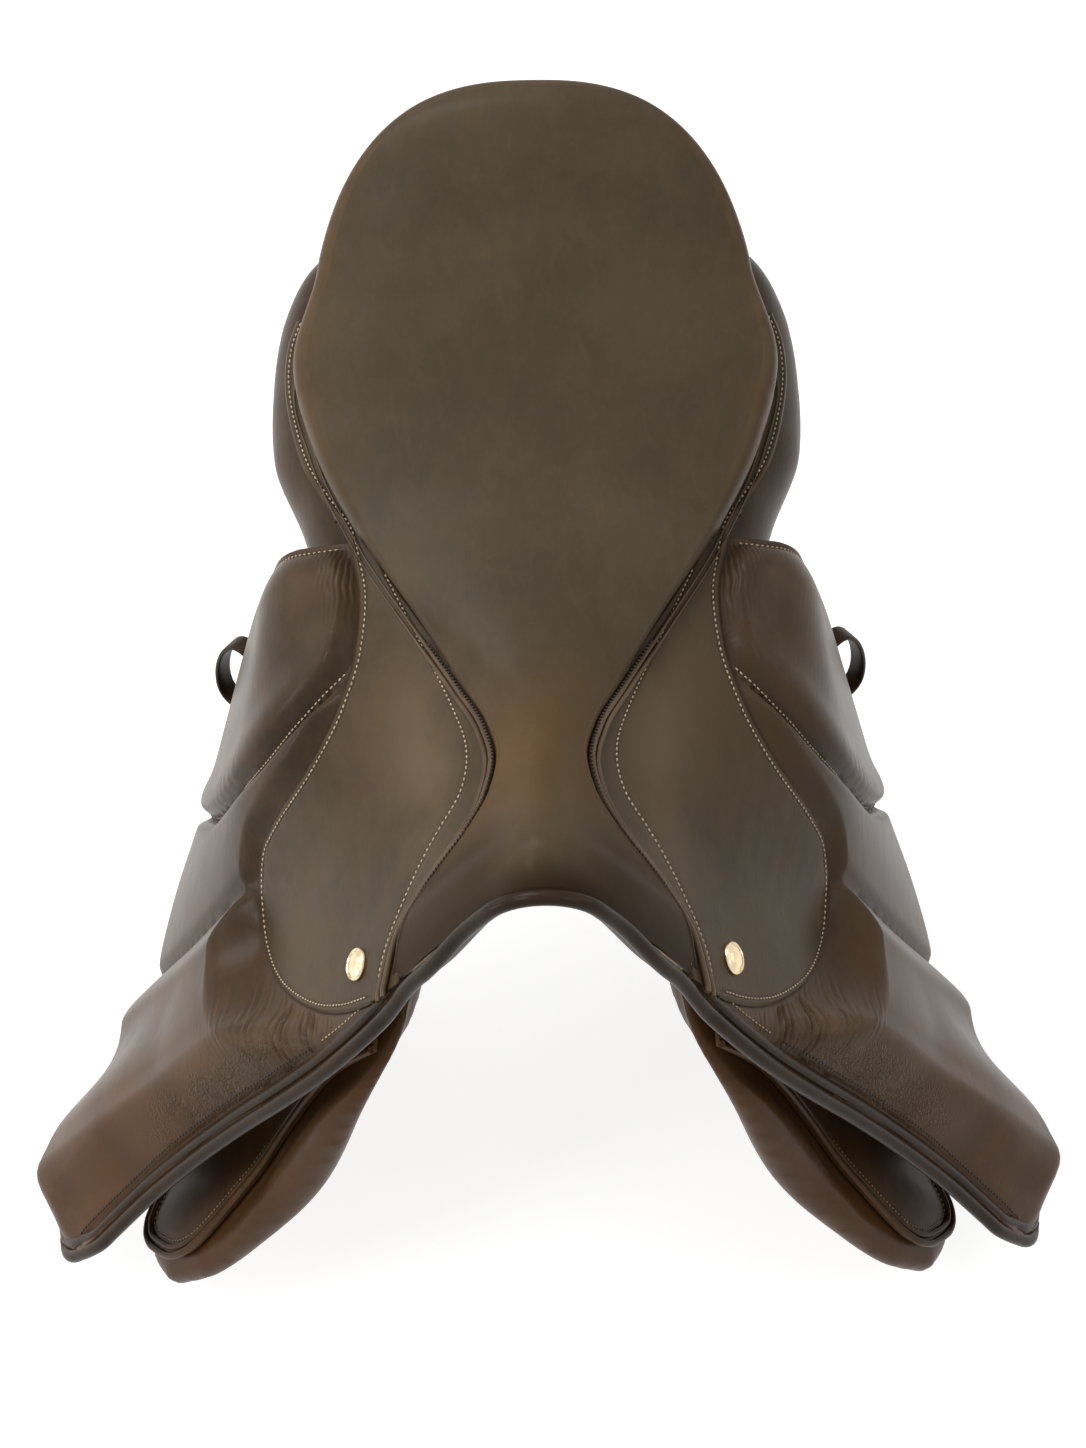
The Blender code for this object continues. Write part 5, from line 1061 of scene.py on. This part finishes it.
def make_front_rolls():
    """The thick roll over the pommel's arch and down each flap's front edge, and the band inside it."""
    s = np.linspace(-0.003, 0.112, 30)
    arch = (-0.2355 - 0.0060 * ease((s - 0.045) / 0.050), s, 0.0030 - 0.0042 * (s / 0.112) ** 2)
    points = np.vstack([np.column_stack(arch), front_path(-0.0026, -0.0008)[6:]])
    roll = tube_along("front_roll_left", points, 0.0042,
                      lambda t: 1 - 0.08 * t - 0.55 * ease((t - 0.955) / 0.045))
    both(roll, roll_hide, "seat_leather", replaces=["flap_binding_{}"], blend=FLAP_BEND,
         left_only=["pommel_roll"])
    band = tube_along("flap_front_band_left", front_path(0.0046, 0.0022), 0.0021,
                      lambda t: 0.6 + 0.4 * ease(t / 0.10) - 0.55 * ease((t - 0.93) / 0.07), 1.6)
    both(band, roll_hide, "flap_leather", blend=FLAP_BEND)


# Welts, nails and keepers

def seam_path(y, out, lift):
    """A path beside the seam of seat and skirt, and the way out of the side along it."""
    line = np.array(on_side(y, seen_seam, out)).T
    return SIDE.at(*line, lift), SIDE.out(*line)


def make_welts():
    """Two thin welts between seat and skirts, with the seat's own small dark stitches beside them."""
    for name, out, radius, lift, nodes in (("inner", 0.0012, 0.0017, 0.0022, ["seat_welt_{}"]),
                                           ("outer", 0.0044, 0.0015, 0.0016, [])):
        places = np.linspace(POMMEL_FRONT - 0.0065, 0.150, 220)
        tube = swept(f"seat_welt_{name}_left", *seam_path(places, out, lift), ring(radius, 10),
                     1 - 0.72 * ease((places + 0.095) / 0.075))
        both(tube, welt_hide, "seat_leather", replaces=nodes)
    path, up = seam_path(np.linspace(-0.205, -0.060, 90), -0.0004, 0.0036)
    whip = stitched("seat_whip_stitches_left", path, up, 0.0023, 0.0023, 0.0012, lean=62)
    both(whip, dark_thread, "seat_leather")


NAIL_LONG, NAIL_WIDE = 0.0091, 0.0084


def make_nails():
    """Oval saddle nails: a low dome with a turned rim."""
    head = primitive(bpy.ops.mesh.primitive_uv_sphere_add, segments=48, ring_count=24, radius=1.0)
    head.name = head.data.name = "saddle_nail_head_left"
    edited((bpy.ops.transform.resize, {"value": (NAIL_LONG, NAIL_WIDE, 0.0030)}))
    for v in head.data.vertices:
        share = math.hypot(v.co.x / NAIL_LONG, v.co.y / NAIL_WIDE)
        if v.co.z > 0:
            v.co.z += float(0.0006 * bump((share - 0.90) / 0.06) - 0.0008 * bump((share - 0.76) / 0.07))
    y, s = SIDE.by_height([(-0.2125, 0.022)])[0]
    out = SIDE.out(y, s)
    length = np.array([0.10, 1.0, 0.0])
    length = length - out * (length @ out)
    length /= np.linalg.norm(length)
    turn = Matrix([Vector(length), Vector(np.cross(out, length)), Vector(out)]).transposed().to_4x4()
    head.data.transform(Matrix.Translation(Vector(SIDE.at(y, s, skirt_swell(y, s) + 0.0006))) @ turn)
    both(finished(head, smooth=60), pale_gold, "pale_gold", replaces=["saddle_nail_{}"])


def make_keepers():
    """A loop of strap at each flap's rear edge."""
    upper, lower = (SIDE.at(*SIDE.by_height([(0.0238, z)])[0], -FLAP_DEPTH + 0.004) for z in (-0.070, -0.128))
    middle = (upper + lower) / 2
    run = (lower - upper) / np.linalg.norm(lower - upper)
    out = SIDE.out(*SIDE.by_height([(0.0225, -0.095)])[0]) + (0, 0.85, 0)
    out = out - run * (out @ run)
    out /= np.linalg.norm(out)
    turn = np.linspace(0, math.pi, 40)[:, None]
    path = middle - run * (0.029 * np.cos(turn)) + out * (0.0135 * np.sin(turn) ** 0.8)
    path = np.vstack([path[:1] - out * 0.004, path, path[-1:] - out * 0.004])
    path = smooth_line(spaced(path, 0.003), 3)
    up = (path - middle) / 0.03 + out * 0.2
    keeper = swept("keeper_strap_left", path, up, strap_section(0.011, 0.0026))
    both(keeper, strap_hide, "strap_leather", body="flap_{}_body", replaces=["keeper_{}"])


# Pieces under the flaps

SWEAT_FRONT = smooth_line(SIDE.by_height(SWEAT_OUTLINE[14:]), 8)


def four_sided(outline, top, rear, bottom, front, across, down):
    """A grid inside a closed outline, given where its four corners' runs start and end."""
    line = np.array(SIDE.by_height(outline))
    runs = [smooth_line(line[a:b], 8) for a, b in (top, rear, bottom, front)]
    return coons(runs[0], runs[2][::-1], runs[3][::-1], runs[1], across, down)


def make_sweat_flaps():
    """Each sweat flap, two welts round its front edge and a row of stitches inside them."""
    flat = four_sided(SWEAT_OUTLINE, (0, 6), (5, 10), (9, 15), (14, 20), edge_steps(60, 6, 0.06),
                      edge_steps(80, 6, 0.05))
    y, s = flat[..., 0], flat[..., 1]
    front = away_from(flat, SWEAT_FRONT)
    rest = away_from(flat, smooth_line(SIDE.by_height(SWEAT_OUTLINE[:15]), 8))
    rim = np.minimum(front, rest)
    # Painted shade in the grooves beside the welts and inside the rim.
    fold = np.maximum(0.8 * bump((front - 0.0075) / 0.0010), 0.5 * bump((rest - 0.005) / 0.0010))
    depth = front_depth(y, s) + 0.0003 * bump((rim - 0.0075) / 0.001)
    piece = skin("sweat_flap_leather_left", SIDE.at(y, s, -depth), outwards=(1, 0, 0.5),
                 edge=0.5 * (1 - ease(rim / 0.004)), fold=fold, tan=0.3)
    thickened(piece, SWEAT_THICK)
    both(piece, sweat_hide_with_painted_light, "panel_leather", replaces=["sweat_flap_{}"], sheet=held((0.28, 0.42), 0.087))
    edge = smooth_line(SIDE.by_height(SWEAT_OUTLINE[11:]))
    for name, offset, radius in (("outer", 0.0005, 0.0021), ("inner", 0.0052, 0.0017)):
        row = smooth_line(spaced(beside(edge, -offset), 0.010), 5).T
        welt = swept(f"sweat_welt_{name}_left", SIDE.at(*row, -front_depth(*row) + 0.0006), SIDE.out(*row),
                     ring(radius, 10))
        both(welt, sweat_hide_with_painted_light, "panel_leather")
    stitch_line("sweat_flap_stitches_left", beside(edge, -0.0090), lambda row: -front_depth(*row.T) + 0.0001,
                cream_thread, "panel_leather", pitch=0.0032, length=0.0018, width=0.0008)


def reworked(node, name, voxel=0.0, smoothing=0, smooth=55):
    """A new piece from a CAD node's form: merged, and its grid made even and smoothed where it is soft."""
    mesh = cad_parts[node].data.copy()
    mesh.name = name
    mesh.materials.clear()
    piece = in_scene(name, mesh)
    alone(piece)
    edited(merged(0.00001), FACES_OUT)
    return finished(piece, *remeshed(voxel, smoothing) if voxel else (), smooth=smooth)


def remeshed(voxel, smoothing):
    return [("REMESH", {"mode": "VOXEL", "voxel_size": voxel}),
            ("SMOOTH", {"factor": 0.5, "iterations": smoothing})]


def moved(piece, push):
    """Moves every point out along its normal by a length that depends on its place."""
    places = read(piece.data.vertices, "co")
    places = places + read(piece.data.vertices, "normal") * (push(*places.T) + np.zeros(len(places)))[:, None]
    piece.data.vertices.foreach_set("co", places.ravel())
    piece.data.update()


def rounded_rise(share):
    return np.sqrt(1 - (1 - np.clip(share, 0, 1)) ** 2)


def make_leg():
    """The panel's stuffed leg in front, full beyond the sweat flap's edge."""
    flat = four_sided(LEG_OUTLINE, (0, 4), (3, 8), (7, 12), (11, 17), edge_steps(40, 12, 0.16),
                      edge_steps(60, 12, 0.12))
    y, s = flat[..., 0], flat[..., 1]
    rim = away_from(flat, np.vstack([flat[0], flat[1:, -1], flat[-1, -2::-1], flat[-2::-1, 0]]))
    order = np.argsort(SWEAT_FRONT[:, 1])
    ahead = np.interp(s, SWEAT_FRONT[order, 1], SWEAT_FRONT[order, 0]) - y
    thick = 0.0165 + 0.0155 * ease((s - 0.17) / 0.15) - 0.003 * ease((s - 0.38) / 0.1)
    middle = 0.0045 + 0.42 * thick
    top = 0.0045 - 0.0055 * ease((ahead - 0.005) / 0.012)
    centre = front_depth(y, s) + middle
    upper, under = (skin("leg_" + name, SIDE.at(y, s, -depth)) for name, depth in (
        ("upper", centre - (middle - top) * rounded_rise(rim / 0.017)),
        ("under", centre + (thick - middle) * rounded_rise(rim / 0.030))))
    joined(upper, under)
    edited(merged(0.00005), FACES_OUT)
    return upper


def make_panels():
    """The stuffed panels with their front legs, and the knee and thigh blocks between them and the flaps."""
    piece = reworked("panel_left", "panel_leather_left", voxel=0.0032, smoothing=110, smooth=180)
    edited((bpy.ops.mesh.bisect, {"plane_co": (0, 0, -0.040), "plane_no": (0, 0, -1), "use_fill": True,
                                  "clear_outer": True}))

    def push(x, y, z):
        waves = 0.0003 * np.sin(x * 70 + 1.7 * np.sin(y * 50)) * np.sin(y * 64 + 20 * z)
        fuller = waves + 0.0042 * ease((y + 0.19) / 0.03) - 0.003 * ease((-0.19 - y) / 0.03)
        return fuller + 0.0060 * ease((x - 0.09) / 0.03) * ease((y - 0.01) / 0.05)

    moved(piece, push)
    for v in piece.data.vertices:
        behind_flap = ease((v.co.y + 0.10) / 0.05) * (1 - ease((v.co.y - 0.048) / 0.045))
        v.co.x -= 0.0110 * float(behind_flap * ease((v.co.x - 0.07) / 0.04))
    joined(piece, make_leg())
    finished(piece, *remeshed(0.0030, 14), smooth=180)
    x, y, z = read(piece.data.vertices, "co").T
    write_note(piece, "edge", 0.25 + 0 * x)
    # Painted shade: the panel's front part darker towards its top, where it lies under the flap and the roll.
    write_note(piece, "fold", 0.55 * ease((z - 0.005) / 0.05) * (y < -0.1))
    write_note(piece, "tan", 0.95 * ease((0.03 - z) / 0.06) * ease((-0.13 - y) / 0.06))
    both(piece, panel_hide, "panel_leather", replaces=["panel_{}"], padded=0.9)
    for node in ("knee_block", "thigh_block"):
        block = reworked(node + "_left", node + "_pad_left", voxel=0.0030, smoothing=8, smooth=180)
        for v in block.data.vertices:
            v.co.y += 0.62 * max(-0.192 - v.co.y, 0.0)
        both(block, panel_hide, "panel_leather", replaces=[node + "_{}"], padded=0.95)


def make_head():
    """The tree and its plate, drawn back behind the pommel's roll, and the leather that lines the arch."""
    for node, finish, slot in (("tree_frame", beech_ply, "beech_ply"),
                               ("gullet_plate", black_enamel_and_shade, "steel")):
        piece = reworked(node, node + "_piece", smooth=35)
        for v in piece.data.vertices:
            v.co.y += 0.0085 * float(ease((-0.180 - v.co.y) / 0.040))
        place(piece, finish, replaces=[node])
    s = np.linspace(-0.112, 0.112, 161)
    rows = []
    for share in np.linspace(0, 1, 14):
        y = -0.2340 - 0.0055 * ease((np.abs(s) - 0.045) / 0.050) + 0.024 * share**1.5
        rows.append(SIDE.at(y, s, 0.0012 - 0.0042 * (s / 0.112) ** 2 - 0.0195 * np.sin(share * math.pi / 2)))
    # Painted shade: the facing under the pommel's arch is darkened all over.
    facing = skin("pommel_facing", np.array(rows), outwards=(0, -1, -0.3), edge=0.1, fold=0.35, tan=0.2)
    thickened(facing, 0.0014, 0.0)
    place(facing, panel_hide)


def make_facing():
    """The leather that closes the cantle between the seat's roll and the panels."""
    line = seat_outline(0.0035, 0.046)
    square = square_to(line)
    start = edge_level(line[:, 1]) - roll_depth(line[:, 1])
    floor = np.minimum(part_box("cantle_facing")[0][2], start - 0.004)
    shares = np.linspace(0, 1, 26)
    rows = []
    for share in shares:
        inset = 0.0125 - 0.0065 * ease(share / 0.12) - 0.0015 * np.sin(share * math.pi)
        inset = inset + 0.0025 * ease((share - 0.8) / 0.2)
        rows.append(np.column_stack([line - square * inset, start + 0.005 - (start + 0.005 - floor) * share]))
    rows = np.array(rows)
    # Painted shade: darker along the middle seam's groove and along the top, under the seat's roll.
    seam = 0.6 * bump((np.abs(rows[..., 0]) - 0.012) / 0.0016) + 0.5 * (shares[:, None] < 0.05)
    facing = skin("cantle_facing_leather", rows, edge=0.15, fold=np.clip(seam, 0, 1), tan=0.15)
    thickened(facing, FACING_THICK, 0.0005, offset=0.0)
    place(facing, seat_hide, replaces=["cantle_facing"])


def make_hidden():
    """The pieces that only show from below or when a flap is lifted."""
    for node, finish, slot in (("seat_webbing", linen_web, "linen_web"),
                               ("gullet_lining", panel_hide, "panel_leather")):
        place(reworked(node, node + "_piece", smooth=30), finish, replaces=[node])
    foam = reworked("seat_foam", "seat_foam_piece", voxel=0.0035, smoothing=6, smooth=180)
    moved(foam, lambda x, y, z: -0.0055)
    place(foam, foam_finish, replaces=["seat_foam"])
    web = (linen_web, "linen_web")
    strap = (strap_hide, "strap_leather")
    for node, kind, body in (("girth_web", web, "saddle"), ("point_pocket", strap, "saddle"),
                             ("girth_strap_front", strap, "girth_straps_{}"),
                             ("girth_strap_middle", strap, "girth_straps_{}"),
                             ("girth_strap_rear", strap, "girth_straps_{}"),
                             ("strap_guard", strap, "strap_guard_{}_body")):
        both(reworked(node + "_left", node + "_piece_left", smooth=30), *kind, body, [node + "_{}"])


for make in (make_seat, make_skirts, make_flaps, make_front_rolls, make_welts, make_nails, make_keepers,
             make_sweat_flaps, make_panels, make_head, make_facing, make_hidden):
    make()


# Floor, light and camera

def make_stage():
    floor = primitive(bpy.ops.mesh.primitive_plane_add, size=8.0, location=(0, 0, -0.312))
    floor.name = "floor"
    f = Finish("pale_floor")
    f.put(f.shader.inputs["Emission Strength"], f.seen() * 0.80)
    floor.data.materials.append(f.done(Base_Color=(0.60, 0.60, 0.60), Roughness=0.9, Specular_IOR_Level=0.1,
                                       Emission_Color=(1.0, 1.0, 1.0)))

    bpy.context.scene.world = bpy.data.worlds.new("studio")
    w = Nodes(bpy.context.scene.world)
    soft, white = (w.node("ShaderNodeBackground", {}, {0: colour, 1: strength}).outputs[0]
                   for colour, strength in (((1.0, 0.98, 0.95), 0.34), ((1.0, 1.0, 1.0), 1.0)))
    shown = w.node("ShaderNodeMixShader", {}, {0: w.seen(), 1: soft, 2: white})
    w.node("ShaderNodeOutputWorld", {}, {0: shown.outputs[0]})

    for name, spot, size, power in (
        ("key_light", (-0.9, 0.8, 1.9), 1.2, 23.0),
        ("left_light", (-1.9, 0.3, 0.75), 1.2, 6.0),
        ("low_left_light", (-1.75, -0.75, 0.30), 0.6, 5.0),
        ("right_light", (1.9, 0.3, 0.9), 1.0, 3.0),
        ("front_left_light", (-1.0, -0.7, 1.5), 0.4, 5.0),
        ("front_right_light", (1.15, -0.85, 1.5), 0.6, 2.5),
    ):
        data = bpy.data.lights.new(name, "AREA")
        data.energy, data.size = power, size
        lamp = in_scene(name, data)
        lamp.location = spot
        lamp.rotation_euler = (Vector((0, -0.05, 0.0)) - Vector(spot)).to_track_quat("-Z", "Y").to_euler()


def make_camera():
    """The camera as solved from the photograph: where it looks, its tilt and roll, and its focal length."""
    target, distance = Vector((0.0009, -0.1175, 0.1)), 2.0
    tilt, roll = math.radians(62.0), math.radians(-0.93)
    focal_px, picture_px, sensor = 3990, 1448, 36.0
    back = Vector((0, -math.cos(tilt), math.sin(tilt)))
    right = Vector((1, 0, 0))
    up = back.cross(right)
    right, up = right * math.cos(roll) + up * math.sin(roll), up * math.cos(roll) - right * math.sin(roll)
    data = bpy.data.cameras.new("camera")
    data.sensor_fit = "VERTICAL"
    data.sensor_height = sensor
    data.lens = focal_px / picture_px * sensor
    camera = in_scene("camera", data)
    turn = Matrix((right, up, back)).transposed().to_4x4()
    camera.matrix_world = Matrix.Translation(target + back * distance) @ turn
    bpy.context.scene.camera = camera


make_stage()
make_camera()
bpy.context.scene.view_settings.view_transform = "Standard"
